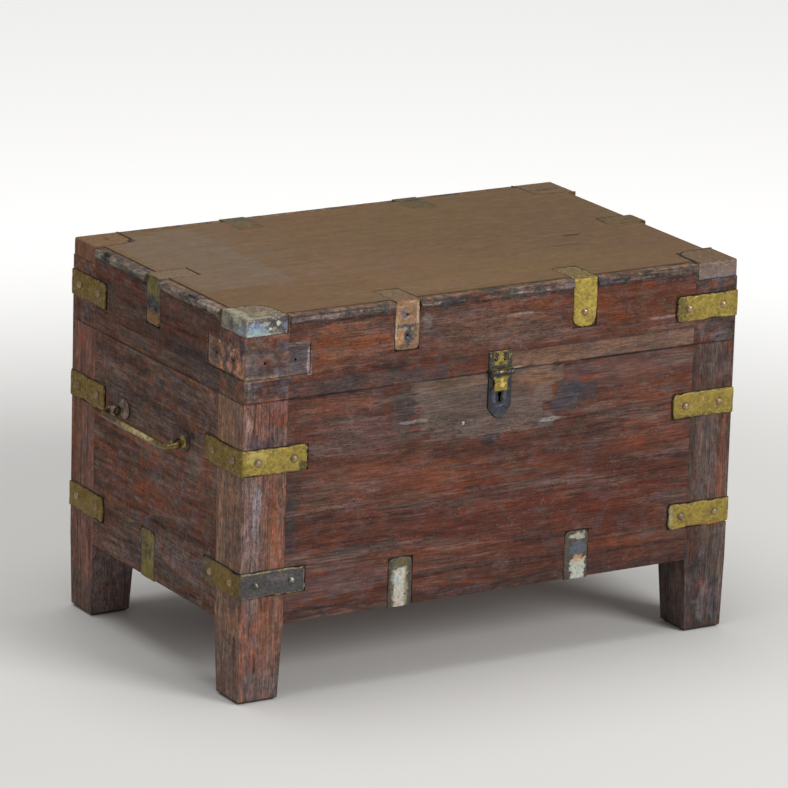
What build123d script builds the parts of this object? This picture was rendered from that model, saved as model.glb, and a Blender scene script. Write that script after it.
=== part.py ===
"""Damchiya chest: a legged hardwood trunk with a box lid, brass straps, a hasp lock and two bail handles.

Millimetres. X runs along the front from left to right, Y runs from front to back and Z is up.
The origin is on the floor, under the middle of the chest.
"""
from build123d import *
import math
import os

# Overall sizes of the woodwork
WIDTH = 760.0
DEPTH = 474.0
SEAM_HEIGHT = 409.0
LID_HEIGHT = 112.7
SEAM_GAP = 0.3

# Posts and the tapered legs under them
POST_SIZE = 66.0
LEG_HEIGHT = 105.0
FOOT_SIZE = 58.0
FOOT_INSET = 2.0
FOOT_CHAMFER = 4.0

# Boards
PANEL_THICKNESS = 22.0
RAIL_THICKNESS = 20.0
TOP_THICKNESS = 16.0
TONGUE_THICKNESS = 10.0
TONGUE_LENGTH = 14.0
TONGUE_SHOULDER = 12.0
TONGUE_CLEARANCE = 0.2
BOTTOM_THICKNESS = 16.0
BOTTOM_RISE = 12.0
BOTTOM_BOARDS = 3
GROOVE_DEPTH = 8.0
GROOVE_CLEARANCE = 0.2

# Edge strips let into the rim of the top
STRIP_REBATE = 13.0
STRIP_OVERHANG = 5.0
STRIP_DROP = 1.0
STRIP_NOSE = 11.0
STRIP_ROUND = 5.0
STRIP_END_GAP = 0.8

# Corner straps that wrap the posts and the lid corners
STRAP_WIDTH = 36.0
STRAP_ARM = 97.0
STRAP_THICKNESS = 3.5
STRAP_RECESS = 1.2
STRAP_CORNER_ROUND = 3.0
RECESS_MARGIN = 1.0
LOST_RECESS_WIDTH = 42.0
LID_STRAP_DROP = 61.0
UPPER_STRAP_DROPS = {
    "front_left": 80.0,
    "front_right": 84.0,
    "back_left": 90.0,
    "back_right": 85.0,
}
LOWER_STRAP_RISES = {
    "front_left": 58.0,
    "front_right": 64.0,
    "back_left": 57.0,
    "back_right": 61.0,
}

# Edge straps folded over the rim of the top and under the panels
EDGE_STRAP_WIDTH = 38.0
EDGE_STRAP_THICKNESS = 2.5
EDGE_STRAP_RECESS = 1.9
EDGE_STRAP_ROUND = 7.0
TOP_ARM = 59.0
LID_ARM = 68.0
BOTTOM_ARM = 67.0
UNDER_ARM = 20.0
FRONT_STRAP_SPACING = 275.0
SIDE_TOP_STRAP_Y = 9.5
SIDE_BOTTOM_STRAP_Y = 14.0

# Caps over the corners of the lid
CAP_SIZE = 64.0
CAP_DROP = 24.0
CAP_THICKNESS = 1.6
CAP_INNER_ROUND = 26.0

# Domed nails and the holes of lost ones
NAIL_HEAD_RADIUS = 5.5
NAIL_HEAD_HEIGHT = 3.2
NAIL_RADIUS = 1.7
NAIL_LENGTH = 17.0
NAIL_CLEARANCE = 0.08
HOLE_END_GAP = 1.0
NAIL_NEAR = 22.0
NAIL_FAR = 76.0
LID_ARM_NAIL = 47.0
BOTTOM_ARM_NAIL = 44.0
UNDER_ARM_NAIL = 11.0
LOST_NAIL_DEPTH = 6.0
LOST_NAIL_NEAR = 31.0
LOST_NAIL_HIGH = 19.0
LOST_NAIL_TOP = 41.0

# Back hinges
KNUCKLE_RADIUS = 4.5
KNUCKLE_OUT = 6.0
KNUCKLE_GAP = 0.3
KNUCKLE_CLEARANCE = 0.4
PIN_RADIUS = 2.0
PIN_CLEARANCE = 0.06
HINGE_MIDDLE_WIDTH = 12.6
HINGE_LOWER_LENGTH = 112.0
HINGE_NAILS = 3
HINGE_FIRST_NAIL = 32.0
HINGE_NAIL_STEP = 33.0

# Hasp and lock, set a little to the right of the middle
LOCK_X = 7.0
HASP_LEAF_WIDTH = 35.0
HASP_LEAF_HEIGHT = 28.0
HASP_PLATE_THICKNESS = 3.0
HASP_RECESS = 1.2
HASP_LENGTH = 26.0
HASP_WIDTH = 29.0
HASP_WAIST = 19.0
HASP_THICKNESS = 2.5
HASP_FACE_GAP = 0.3
HASP_KNUCKLE_WIDTH = 13.0
HASP_LIP = 2.0
SCREW_HEAD_RADIUS = 3.0
SCREW_HEAD_HEIGHT = 1.2
SCREW_OFFSET = 7.0
SCREW_HEIGHT = 17.0
LOCK_PLATE_WIDTH = 35.0
LOCK_PLATE_DROP = 64.0
LOCK_PLATE_SHOULDER = 49.0
LOCK_PLATE_TIP = 17.0
NIB_THICKNESS = 5.0
NIB_TOP = 11.0
NIB_BOTTOM = 20.0
NIB_DEPTH = 10.0
NIB_EYE_RADIUS = 2.8
NIB_SLOT_MARGIN = 0.7
NIB_SLOT_BOTTOM = 25.6
KEYHOLE_TOP = 31.0
KEYHOLE_RADIUS = 3.2
KEYHOLE_WIDTH = 3.6
KEYHOLE_LENGTH = 11.0
LOCK_CASE_WIDTH = 31.0
LOCK_CASE_TOP = 9.0
LOCK_CASE_HEIGHT = 39.0
LOCK_CASE_DEPTH = 14.0
LOCK_CASE_WALL = 1.7
BOLT_RADIUS = 2.3
BOLT_TAB = 4.0
BOLT_TAB_HEIGHT = 9.0
BOLT_TAB_FRONT = 3.5
BOLT_END = 3.0
BOLT_SEAT_GAP = 0.3

# Bail handles
HANDLE_DROP = 89.0
HANDLE_SPACING = 168.0
HANDLE_AXIS_OUT = 14.0
ROSETTE_RADIUS = 14.0
ROSETTE_THICKNESS = 3.0
EYE_WIDTH = 10.0
EYE_RADIUS = 7.5
EYE_SHANK_RADIUS = 3.0
EYE_SHANK_LENGTH = 20.0
BAIL_RADIUS = 4.0
BAIL_CLEARANCE = 0.08
BAIL_DROP = 20.0
BAIL_SIDE = 7.0
BAIL_PIN_SHORTFALL = 1.0
BAIL_PIVOT_BEND = 6.0
BAIL_GRIP_BEND = 10.0
BAIL_REST_ANGLE = 80.0

# Derived places
HALF_WIDTH = WIDTH / 2
HALF_DEPTH = DEPTH / 2
LID_BOTTOM = SEAM_HEIGHT + SEAM_GAP
LID_TOP = LID_BOTTOM + LID_HEIGHT
TOP_UNDERSIDE = LID_TOP - TOP_THICKNESS
TOP_ARM_LAYER = (LID_TOP - EDGE_STRAP_THICKNESS, LID_TOP)
AXIS_HEIGHT = SEAM_HEIGHT + SEAM_GAP / 2
BOTTOM_BOARD_LOW = LEG_HEIGHT + BOTTOM_RISE
HANDLE_HEIGHT = SEAM_HEIGHT - HANDLE_DROP
LID_STRAP_HEIGHT = LID_TOP - LID_STRAP_DROP
UPPER_STRAP_HEIGHTS = {corner: SEAM_HEIGHT - drop for corner, drop in UPPER_STRAP_DROPS.items()}
LOWER_STRAP_HEIGHTS = {corner: LEG_HEIGHT + rise for corner, rise in LOWER_STRAP_RISES.items()}
HINGE_PLACES = (-FRONT_STRAP_SPACING / 2, FRONT_STRAP_SPACING / 2)
STRAP_PROUD = STRAP_THICKNESS - STRAP_RECESS
EDGE_STRAP_PROUD = EDGE_STRAP_THICKNESS - EDGE_STRAP_RECESS
HASP_PROUD = HASP_PLATE_THICKNESS - HASP_RECESS
NIB_SLOT_HALF = NIB_THICKNESS / 2 + NIB_SLOT_MARGIN
BOLT_HEIGHT = AXIS_HEIGHT - (NIB_TOP + NIB_BOTTOM) / 2
BOLT_DEPTH = (NIB_DEPTH + HASP_RECESS) / 2

CORNERS = {
    "front_left": (-1, -1),
    "front_right": (1, -1),
    "back_left": (-1, 1),
    "back_right": (1, 1),
}
LOST_STRAP_CORNER = "front_left"
LID_STRAP_CORNERS = [corner for corner in CORNERS if corner != LOST_STRAP_CORNER]
# Each face: the direction across it, seen from outside, and its outward direction
FACES = {
    "front": ((1, 0, 0), (0, -1, 0)),
    "right": ((0, 1, 0), (1, 0, 0)),
    "back": ((-1, 0, 0), (0, 1, 0)),
    "left": ((0, -1, 0), (-1, 0, 0)),
}
TOP_STRAPS = (
    ("front", HINGE_PLACES[0]),
    ("front", HINGE_PLACES[1]),
    ("left", -SIDE_TOP_STRAP_Y),
    ("right", SIDE_TOP_STRAP_Y),
    ("back", HINGE_PLACES[0]),
    ("back", HINGE_PLACES[1]),
)
BOTTOM_STRAPS = (
    ("front", HINGE_PLACES[0]),
    ("front", HINGE_PLACES[1]),
    ("left", -SIDE_BOTTOM_STRAP_Y),
    ("right", SIDE_BOTTOM_STRAP_Y),
    ("back", HINGE_PLACES[0]),
    ("back", HINGE_PLACES[1]),
)


# ---------------------------------------------------------------- placing

def box_between(low, high):
    """A box from its lowest to its highest corner, given in any order."""
    size = [abs(b - a) for a, b in zip(low, high)]
    middle = [(a + b) / 2 for a, b in zip(low, high)]
    return Pos(*middle) * Box(*size)


def corner_box(corner, u, v, z):
    """A box measured inwards from a corner's outer faces: u from the side face, v from the front or back."""
    sx, sy = CORNERS[corner]
    low = (sx * (HALF_WIDTH - u[0]), sy * (HALF_DEPTH - v[0]), z[0])
    high = (sx * (HALF_WIDTH - u[1]), sy * (HALF_DEPTH - v[1]), z[1])
    return box_between(low, high)


def face_plane(side):
    """The plane of an outer face: X across it, Y up from the floor and Z outwards."""
    across, out = FACES[side]
    reach = HALF_WIDTH if out[0] else HALF_DEPTH
    return Plane(origin=Vector(*out) * reach, x_dir=across, z_dir=out)


def face_box(side, across, height, out):
    """A box on an outer face, as ranges across it, up it and outwards from it."""
    return face_plane(side) * box_between((across[0], height[0], out[0]), (across[1], height[1], out[1]))


def around(middle, width):
    """The range of a width about its middle."""
    return (middle - width / 2, middle + width / 2)


def cut(solid, tools):
    """A solid with every tool that meets it cut out of it."""
    bounds = solid.bounding_box()
    near = [tool for tool in tools if bounds.overlaps(tool.bounding_box())]
    return solid - near if near else solid


def save(name, shape):
    """Write one named piece."""
    shape.label = name
    export_step(shape, os.path.join("parts", name + ".step"))


# ---------------------------------------------------------------- nails

def make_nail(head_radius, head_height, length):
    """A domed nail with its head's underside at the origin and its shank along -Z."""
    with BuildSketch(Plane.XZ) as profile:
        with BuildLine():
            ThreePointArc(
                (0, head_height),
                (head_radius * math.sin(math.pi / 4), head_height * math.cos(math.pi / 4)),
                (head_radius, 0),
            )
            Polyline(
                (head_radius, 0),
                (NAIL_RADIUS, 0),
                (NAIL_RADIUS, -length),
                (0, -length),
                (0, head_height),
            )
        make_face()
    return revolve(profile.sketch, Axis.Z)


def make_hole(length):
    """The hole of a nail's shank, a little past the head's seat."""
    radius = NAIL_RADIUS + NAIL_CLEARANCE
    return Pos(0, 0, (STRAP_THICKNESS - length) / 2) * Cylinder(radius, length + STRAP_THICKNESS)


class Nails:
    """The nails of one body, with the holes that they and lost nails leave."""

    def __init__(self):
        self.nail = make_nail(NAIL_HEAD_RADIUS, NAIL_HEAD_HEIGHT, NAIL_LENGTH)
        self.solids = []
        self.holes = []

    def drive(self, plane):
        """Put a nail with its head's seat on a plane."""
        self.solids.append(plane * self.nail)
        self.holes.append(plane * make_hole(NAIL_LENGTH + HOLE_END_GAP))

    def lose(self, plane):
        """Leave the empty hole of a nail that has gone."""
        self.holes.append(plane * make_hole(LOST_NAIL_DEPTH))

    def group(self):
        """All the nails as one group of separate solids."""
        return Compound(children=self.solids)


def face_seat(side, across, height, out):
    """The seat of a nail on an outer face."""
    plane = face_plane(side)
    return Plane(origin=plane.from_local_coords((across, height, out)), z_dir=plane.z_dir)


def top_seat(side, across, inwards):
    """The seat of a nail on the top, at a distance inwards from a face."""
    return Plane(origin=face_plane(side).from_local_coords((across, LID_TOP, -inwards)), z_dir=(0, 0, 1))


def under_seat(side, across):
    """The seat of a nail under the folded-in end of a bottom edge strap."""
    place = (across, LEG_HEIGHT - EDGE_STRAP_THICKNESS, -UNDER_ARM_NAIL)
    return Plane(origin=face_plane(side).from_local_coords(place), z_dir=(0, 0, -1))


def corner_seats(corner, height, distances, out):
    """Seats on both faces of a corner, at distances from it."""
    sx, sy = CORNERS[corner]
    seats = []
    for distance in distances:
        front = (sx * (HALF_WIDTH - distance), sy * (HALF_DEPTH + out), height)
        seats.append(Plane(origin=front, z_dir=(0, sy, 0)))
        side = (sx * (HALF_WIDTH + out), sy * (HALF_DEPTH - distance), height)
        seats.append(Plane(origin=side, z_dir=(sx, 0, 0)))
    return seats


# ---------------------------------------------------------------- straps

def corner_strap(corner, height):
    """An angle strap wrapped round a post, half sunk in its recess."""
    span = around(height, STRAP_WIDTH)
    thick = (-STRAP_PROUD, STRAP_RECESS)
    arm = (-STRAP_PROUD, STRAP_ARM)
    strap = corner_box(corner, arm, thick, span) + corner_box(corner, thick, arm, span)
    sx, sy = CORNERS[corner]
    bend = strap.edges().filter_by(Axis.Z).sort_by_distance((sx * WIDTH, sy * DEPTH, height))[0]
    return fillet(bend, STRAP_CORNER_ROUND)


def corner_strap_recess(corner, height, width):
    """The shallow recess of a corner strap, a little larger than the strap."""
    span = around(height, width)
    deep = (0, STRAP_RECESS)
    arm = (0, STRAP_ARM + RECESS_MARGIN)
    return corner_box(corner, arm, deep, span) + corner_box(corner, deep, arm, span)


def top_strap(side, across):
    """An edge strap let into the top and folded down over the rim."""
    width = around(across, EDGE_STRAP_WIDTH)
    thick = (-EDGE_STRAP_RECESS, EDGE_STRAP_PROUD)
    lower = LID_TOP - LID_ARM
    plate = face_box(side, width, (lower, LID_TOP), thick)
    plate = fillet(end_edges(plate, side, 0), EDGE_STRAP_ROUND)
    return plate + face_box(side, width, TOP_ARM_LAYER, (-TOP_ARM, EDGE_STRAP_PROUD))


def top_strap_recess(side, across):
    """The recess of an edge strap in the top, the rim and the rail."""
    width = around(across, EDGE_STRAP_WIDTH)
    down = face_box(side, width, (LID_TOP - LID_ARM, LID_TOP), (-EDGE_STRAP_RECESS, 0))
    return down + face_box(side, width, TOP_ARM_LAYER, (-TOP_ARM, 0))


def bottom_strap(side, across):
    """An edge strap on a panel, folded in under its lower edge."""
    width = around(across, EDGE_STRAP_WIDTH)
    thick = (-EDGE_STRAP_RECESS, EDGE_STRAP_PROUD)
    upper = LEG_HEIGHT + BOTTOM_ARM
    lower = LEG_HEIGHT - EDGE_STRAP_THICKNESS
    plate = face_box(side, width, (lower, upper), thick)
    plate = fillet(end_edges(plate, side, -1), EDGE_STRAP_ROUND)
    return plate + face_box(side, width, (lower, LEG_HEIGHT), (-UNDER_ARM, EDGE_STRAP_PROUD))


def bottom_strap_recess(side, across):
    """The recess of a bottom edge strap."""
    width = around(across, EDGE_STRAP_WIDTH)
    return face_box(side, width, (LEG_HEIGHT, LEG_HEIGHT + BOTTOM_ARM), (-EDGE_STRAP_RECESS, 0))


def end_edges(plate, side, end):
    """The two edges through a plate's thickness at its lower end, 0, or its upper end, -1."""
    through = plate.edges().filter_by(Axis((0, 0, 0), face_plane(side).z_dir))
    return through.group_by(Axis.Z)[end]


def corner_cap(corner):
    """A thin cap let flush into a corner of the lid, with flaps down both faces."""
    over = (0, CAP_SIZE)
    thin = (0, CAP_THICKNESS)
    top = corner_box(corner, over, over, (LID_TOP - CAP_THICKNESS, LID_TOP))
    inner = top.edges().filter_by(Axis.Z).sort_by_distance((0, 0, LID_TOP))[0]
    top = fillet(inner, CAP_INNER_ROUND)
    flaps = (LID_TOP - CAP_DROP, LID_TOP)
    return top + corner_box(corner, over, thin, flaps) + corner_box(corner, thin, over, flaps)


# ---------------------------------------------------------------- back hinges

def barrel(side, across, radius):
    """A round bar along the seam's hinge line of a face, over a range across it."""
    middle = (across[0] + across[1]) / 2
    length = across[1] - across[0]
    place = Pos(middle, AXIS_HEIGHT, KNUCKLE_OUT) * Rot(0, 90, 0)
    return face_plane(side) * (place * Cylinder(radius, length))


def thirds(across, width, middle_width):
    """The outer two and the middle knuckle ranges of a hinge."""
    low, high = around(across, width)
    inner_low, inner_high = around(across, middle_width)
    outer = ((low, inner_low - KNUCKLE_GAP), (inner_high + KNUCKLE_GAP, high))
    return outer, ((inner_low, inner_high),)


def add_knuckles(plate, side, own, other, up, plate_out):
    """Give a plate its own knuckles, room for the other leaf's, and the bore of the pin."""
    for across in other:
        wide = (across[0] - KNUCKLE_GAP, across[1] + KNUCKLE_GAP)
        plate = plate - barrel(side, wide, KNUCKLE_RADIUS + KNUCKLE_CLEARANCE)
    for across in own:
        height = (AXIS_HEIGHT, AXIS_HEIGHT + up * KNUCKLE_RADIUS)
        web = face_box(side, across, height, (plate_out, KNUCKLE_OUT))
        plate = plate + web + barrel(side, across, KNUCKLE_RADIUS)
    bore = (own[0][0] - KNUCKLE_GAP, own[-1][1] + KNUCKLE_GAP)
    return plate - barrel(side, bore, PIN_RADIUS + PIN_CLEARANCE)


def hinge_upper_leaf(across):
    """The lid's leaf: an edge strap that runs down the back to the hinge line."""
    outer, middle = thirds(across, EDGE_STRAP_WIDTH, HINGE_MIDDLE_WIDTH)
    width = around(across, EDGE_STRAP_WIDTH)
    down = face_box("back", width, (LID_BOTTOM, LID_TOP), (-EDGE_STRAP_RECESS, EDGE_STRAP_PROUD))
    over = face_box("back", width, TOP_ARM_LAYER, (-TOP_ARM, EDGE_STRAP_PROUD))
    return add_knuckles(down + over, "back", middle, outer, 1, -EDGE_STRAP_RECESS)


def hinge_lower_leaf(across):
    """The chest's leaf, down the back panel from the hinge line."""
    outer, middle = thirds(across, EDGE_STRAP_WIDTH, HINGE_MIDDLE_WIDTH)
    width = around(across, EDGE_STRAP_WIDTH)
    low = SEAM_HEIGHT - HINGE_LOWER_LENGTH
    plate = face_box("back", width, (low, SEAM_HEIGHT), (-EDGE_STRAP_RECESS, EDGE_STRAP_PROUD))
    plate = fillet(end_edges(plate, "back", 0), EDGE_STRAP_ROUND)
    return add_knuckles(plate, "back", outer, middle, -1, -EDGE_STRAP_RECESS)


def hinge_recess(across):
    """The recess of a hinge's two leaves in the back."""
    width = around(across, EDGE_STRAP_WIDTH)
    down = face_box("back", width, (SEAM_HEIGHT - HINGE_LOWER_LENGTH, LID_TOP), (-EDGE_STRAP_RECESS, 0))
    over = face_box("back", width, TOP_ARM_LAYER, (-TOP_ARM, 0))
    return down + over


# ---------------------------------------------------------------- hasp and lock

def lock_range(width):
    """A width about the middle of the lock."""
    return around(LOCK_X, width)


def lock_box(width, top, bottom, out):
    """A box centred on the lock, from one drop below the hinge line to another."""
    return face_box("front", lock_range(width), (AXIS_HEIGHT - bottom, AXIS_HEIGHT - top), out)


def hasp_spans():
    """The knuckle ranges of the hasp's hinge: the leaf's outer two and the hasp's middle one."""
    return thirds(LOCK_X, HASP_LEAF_WIDTH, HASP_KNUCKLE_WIDTH)


def hasp_leaf_blank():
    """The outline of the leaf, which is also its recess in the lid's front rail."""
    return face_box(
        "front",
        lock_range(HASP_LEAF_WIDTH),
        (LID_BOTTOM, AXIS_HEIGHT + HASP_LEAF_HEIGHT),
        (-HASP_RECESS, HASP_PROUD),
    )


def hasp_leaf(screw_holes):
    """The leaf fixed to the lid, with two knuckles."""
    outer, middle = hasp_spans()
    leaf = add_knuckles(hasp_leaf_blank(), "front", outer, middle, 1, -HASP_RECESS)
    return cut(leaf, screw_holes)


def hasp():
    """The swinging hasp: a waisted plate with a knuckle, and a nib behind it with an eye for the bolt."""
    outer, middle = hasp_spans()
    back = HASP_PROUD + HASP_FACE_GAP
    out = (back, back + HASP_THICKNESS)
    waist = (HASP_WIDTH - HASP_WAIST) / 2
    plate = lock_box(HASP_WIDTH, 0, HASP_LENGTH, out)
    plane = face_plane("front")
    scallop_height = AXIS_HEIGHT - (KNUCKLE_RADIUS + HASP_LENGTH) / 2
    half_chord = (HASP_LENGTH - KNUCKLE_RADIUS) / 2 - HASP_LIP
    scallop_radius = half_chord**2 / (2 * waist) + waist / 2
    for sign in (-1, 1):
        centre = LOCK_X + sign * (HASP_WAIST / 2 + scallop_radius)
        scallop = Pos(centre, scallop_height, back) * Cylinder(scallop_radius, 4 * HASP_THICKNESS)
        plate = plate - plane * scallop
    plate = plate - lock_box(HASP_WIDTH, -KNUCKLE_RADIUS, KNUCKLE_RADIUS + KNUCKLE_CLEARANCE, out)
    plate = plate + face_box("front", middle[0], (AXIS_HEIGHT - 2 * KNUCKLE_RADIUS, AXIS_HEIGHT), out)
    plate = add_knuckles(plate, "front", middle, outer, -1, back)
    nib = lock_box(NIB_THICKNESS, NIB_TOP, NIB_BOTTOM, (-NIB_DEPTH, back))
    eye = Pos(LOCK_X, BOLT_HEIGHT, -BOLT_DEPTH) * Rot(0, 90, 0) * Cylinder(NIB_EYE_RADIUS, HASP_WIDTH)
    return plate + (nib - plane * eye)


def lock_plate_blank():
    """The shield outline of the lock plate, which is also its recess."""
    half = LOCK_PLATE_WIDTH / 2
    tip = LOCK_PLATE_TIP / 2
    low = -LOCK_PLATE_DROP + tip / 2
    with BuildSketch() as outline:
        with BuildLine():
            Polyline(
                (-tip, low),
                (-half, -LOCK_PLATE_SHOULDER),
                (-half, 0),
                (half, 0),
                (half, -LOCK_PLATE_SHOULDER),
                (tip, low),
            )
            ThreePointArc((tip, low), (0, -LOCK_PLATE_DROP), (-tip, low))
        make_face()
    blank = Pos(LOCK_X, SEAM_HEIGHT, -HASP_RECESS) * extrude(outline.sketch, HASP_PLATE_THICKNESS)
    return face_plane("front") * blank


def lock_plate():
    """The iron lock plate, with the slot of the hasp's nib and the keyhole."""
    through = (-2 * HASP_RECESS, 2 * HASP_PROUD)
    whole = lock_range(LOCK_PLATE_WIDTH + 2 * KNUCKLE_GAP)
    room = barrel("front", whole, KNUCKLE_RADIUS + KNUCKLE_CLEARANCE)
    plate = lock_plate_blank() - room
    plate = plate - lock_box(2 * NIB_SLOT_HALF, -KNUCKLE_RADIUS, NIB_SLOT_BOTTOM, through)
    eye = Pos(LOCK_X, AXIS_HEIGHT - KEYHOLE_TOP, 0) * Cylinder(KEYHOLE_RADIUS, LOCK_CASE_DEPTH)
    plate = plate - face_plane("front") * eye
    return plate - lock_box(KEYHOLE_WIDTH, KEYHOLE_TOP, KEYHOLE_TOP + KEYHOLE_LENGTH, through)


def lock_case():
    """The open-fronted iron case behind the lock plate, let into the front panel."""
    bottom = LOCK_CASE_TOP + LOCK_CASE_HEIGHT
    outside = lock_box(LOCK_CASE_WIDTH, LOCK_CASE_TOP, bottom, (-LOCK_CASE_DEPTH, -HASP_RECESS))
    hollow = lock_box(
        LOCK_CASE_WIDTH - 2 * LOCK_CASE_WALL,
        LOCK_CASE_TOP + LOCK_CASE_WALL,
        bottom - LOCK_CASE_WALL,
        (-LOCK_CASE_DEPTH + LOCK_CASE_WALL, 0),
    )
    return outside - hollow - nib_slot()


def nib_slot():
    """The slot that the hasp's nib drops into, open at the seam."""
    return lock_box(2 * NIB_SLOT_HALF, -SEAM_GAP / 2, NIB_SLOT_BOTTOM, (-NIB_DEPTH - NIB_SLOT_MARGIN, 0))


def lock_mortise():
    """Everything cut from the front panel for the lock."""
    bottom = LOCK_CASE_TOP + LOCK_CASE_HEIGHT
    pocket = lock_box(LOCK_CASE_WIDTH, LOCK_CASE_TOP, bottom, (-LOCK_CASE_DEPTH, 0))
    return [pocket, nib_slot(), lock_plate_blank()]


def lock_bolt():
    """The bolt, drawn back to the left of the nib: a tab on the case's back, and a round end."""
    left = LOCK_X - LOCK_CASE_WIDTH / 2 + LOCK_CASE_WALL + BOLT_SEAT_GAP
    back = -LOCK_CASE_DEPTH + LOCK_CASE_WALL + BOLT_SEAT_GAP
    height = around(BOLT_HEIGHT, BOLT_TAB_HEIGHT)
    tab = face_box("front", (left, left + BOLT_TAB), height, (back, -BOLT_TAB_FRONT))
    end = LOCK_X - BOLT_END
    rod_length = end - left - BOLT_TAB / 2
    middle = (end + left + BOLT_TAB / 2) / 2
    rod = Pos(middle, BOLT_HEIGHT, -BOLT_DEPTH) * Rot(0, 90, 0) * Cylinder(BOLT_RADIUS, rod_length)
    return tab + face_plane("front") * rod


# ---------------------------------------------------------------- handles

def handle_eye(side, across):
    """A round back plate with a post and an eye, and the shank that holds it in the panel."""
    plate = Pos(across, HANDLE_HEIGHT, ROSETTE_THICKNESS / 2) * Cylinder(ROSETTE_RADIUS, ROSETTE_THICKNESS)
    width = around(across, EYE_WIDTH)
    height = around(HANDLE_HEIGHT, 2 * EYE_RADIUS)
    post = box_between((width[0], height[0], 0), (width[1], height[1], HANDLE_AXIS_OUT))
    place = Pos(across, HANDLE_HEIGHT, HANDLE_AXIS_OUT) * Rot(0, 90, 0)
    eye = plate + post + place * Cylinder(EYE_RADIUS, EYE_WIDTH)
    eye = eye - place * Cylinder(BAIL_RADIUS + BAIL_CLEARANCE, 2 * EYE_WIDTH)
    shank = Pos(across, HANDLE_HEIGHT, -EYE_SHANK_LENGTH / 2) * Cylinder(EYE_SHANK_RADIUS, EYE_SHANK_LENGTH)
    return face_plane(side) * (eye + shank)


def handle_eyes(side):
    """The two eyes of one handle."""
    return [handle_eye(side, sign * HANDLE_SPACING / 2) for sign in (-1, 1)]


def handle_holes(side):
    """The holes of the two eyes' shanks."""
    holes = []
    for sign in (-1, 1):
        place = Pos(sign * HANDLE_SPACING / 2, HANDLE_HEIGHT, -EYE_SHANK_LENGTH / 2)
        hole = place * Cylinder(EYE_SHANK_RADIUS + NAIL_CLEARANCE, EYE_SHANK_LENGTH)
        holes.append(face_plane(side) * hole)
    return holes


def handle_bail(side):
    """A bent rod: a grip, two arms, and ends turned in through the eyes."""
    arm = HANDLE_SPACING / 2 + EYE_WIDTH / 2 + BAIL_SIDE
    pin = HANDLE_SPACING / 2 - EYE_WIDTH / 2 - BAIL_PIN_SHORTFALL
    points = ((-pin, 0), (-arm, 0), (-arm, -BAIL_DROP), (arm, -BAIL_DROP), (arm, 0), (pin, 0))
    bends = [BAIL_PIVOT_BEND, BAIL_GRIP_BEND, BAIL_GRIP_BEND, BAIL_PIVOT_BEND]
    route = FilletPolyline(*points, radius=bends)
    section = Plane(origin=(-pin, 0, 0), z_dir=(-1, 0, 0)) * Circle(BAIL_RADIUS)
    rod = sweep(section, path=route)
    return face_plane(side) * (Pos(0, HANDLE_HEIGHT, HANDLE_AXIS_OUT) * Rot(-BAIL_REST_ANGLE, 0, 0) * rod)


# ---------------------------------------------------------------- chest woodwork

def post(corner, cuts):
    """A corner post with a tapered, chamfered leg and the mortises of two panels."""
    shaft = corner_box(corner, (0, POST_SIZE), (0, POST_SIZE), (LEG_HEIGHT, SEAM_HEIGHT))
    upper = Pos(0, 0, LEG_HEIGHT) * corner_square(corner, 0, POST_SIZE)
    lower = corner_square(corner, FOOT_INSET, FOOT_INSET + FOOT_SIZE)
    leg = loft([lower, upper])
    solid = shaft + leg
    solid = chamfer(solid.faces().sort_by(Axis.Z)[0].edges(), FOOT_CHAMFER)
    span = (LEG_HEIGHT + TONGUE_SHOULDER, SEAM_HEIGHT - TONGUE_SHOULDER)
    return cut(solid, mortises(corner, PANEL_THICKNESS, span) + cuts)


def corner_square(corner, near, far):
    """A square face on the floor plane, between two distances from both outer faces of a corner."""
    sx, sy = CORNERS[corner]
    middle = (near + far) / 2
    square = Rectangle(far - near, far - near)
    return Pos(sx * (HALF_WIDTH - middle), sy * (HALF_DEPTH - middle), 0) * square


def mortises(corner, board, span):
    """The two mortises in a post or stub for the tongues of the boards beside it."""
    thick = around(board / 2, TONGUE_THICKNESS + 2 * TONGUE_CLEARANCE)
    deep = (POST_SIZE - TONGUE_LENGTH - TONGUE_CLEARANCE, POST_SIZE)
    tall = (span[0] - TONGUE_CLEARANCE, span[1] + TONGUE_CLEARANCE)
    return [corner_box(corner, deep, thick, tall), corner_box(corner, thick, deep, tall)]


def board(side, thickness, bottom, top):
    """A board between two posts or stubs, flush outside, with a tongue at each end."""
    reach = HALF_DEPTH if side in ("left", "right") else HALF_WIDTH
    half = reach - POST_SIZE
    plank = face_box(side, (-half, half), (bottom, top), (-thickness, 0))
    tongue_out = (-(thickness + TONGUE_THICKNESS) / 2, -(thickness - TONGUE_THICKNESS) / 2)
    tall = (bottom + TONGUE_SHOULDER, top - TONGUE_SHOULDER)
    long = half + TONGUE_LENGTH
    return plank + face_box(side, (-long, long), tall, tongue_out)


def panel(side, cuts):
    """A side of the chest, grooved inside for the bottom boards."""
    reach = HALF_DEPTH if side in ("left", "right") else HALF_WIDTH
    low = BOTTOM_BOARD_LOW - GROOVE_CLEARANCE
    high = BOTTOM_BOARD_LOW + BOTTOM_THICKNESS + GROOVE_CLEARANCE
    inside = (-PANEL_THICKNESS, -PANEL_THICKNESS + GROOVE_DEPTH + GROOVE_CLEARANCE)
    half = reach - POST_SIZE
    groove = face_box(side, (-half, half), (low, high), inside)
    return cut(board(side, PANEL_THICKNESS, LEG_HEIGHT, SEAM_HEIGHT), [groove] + cuts)


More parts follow.
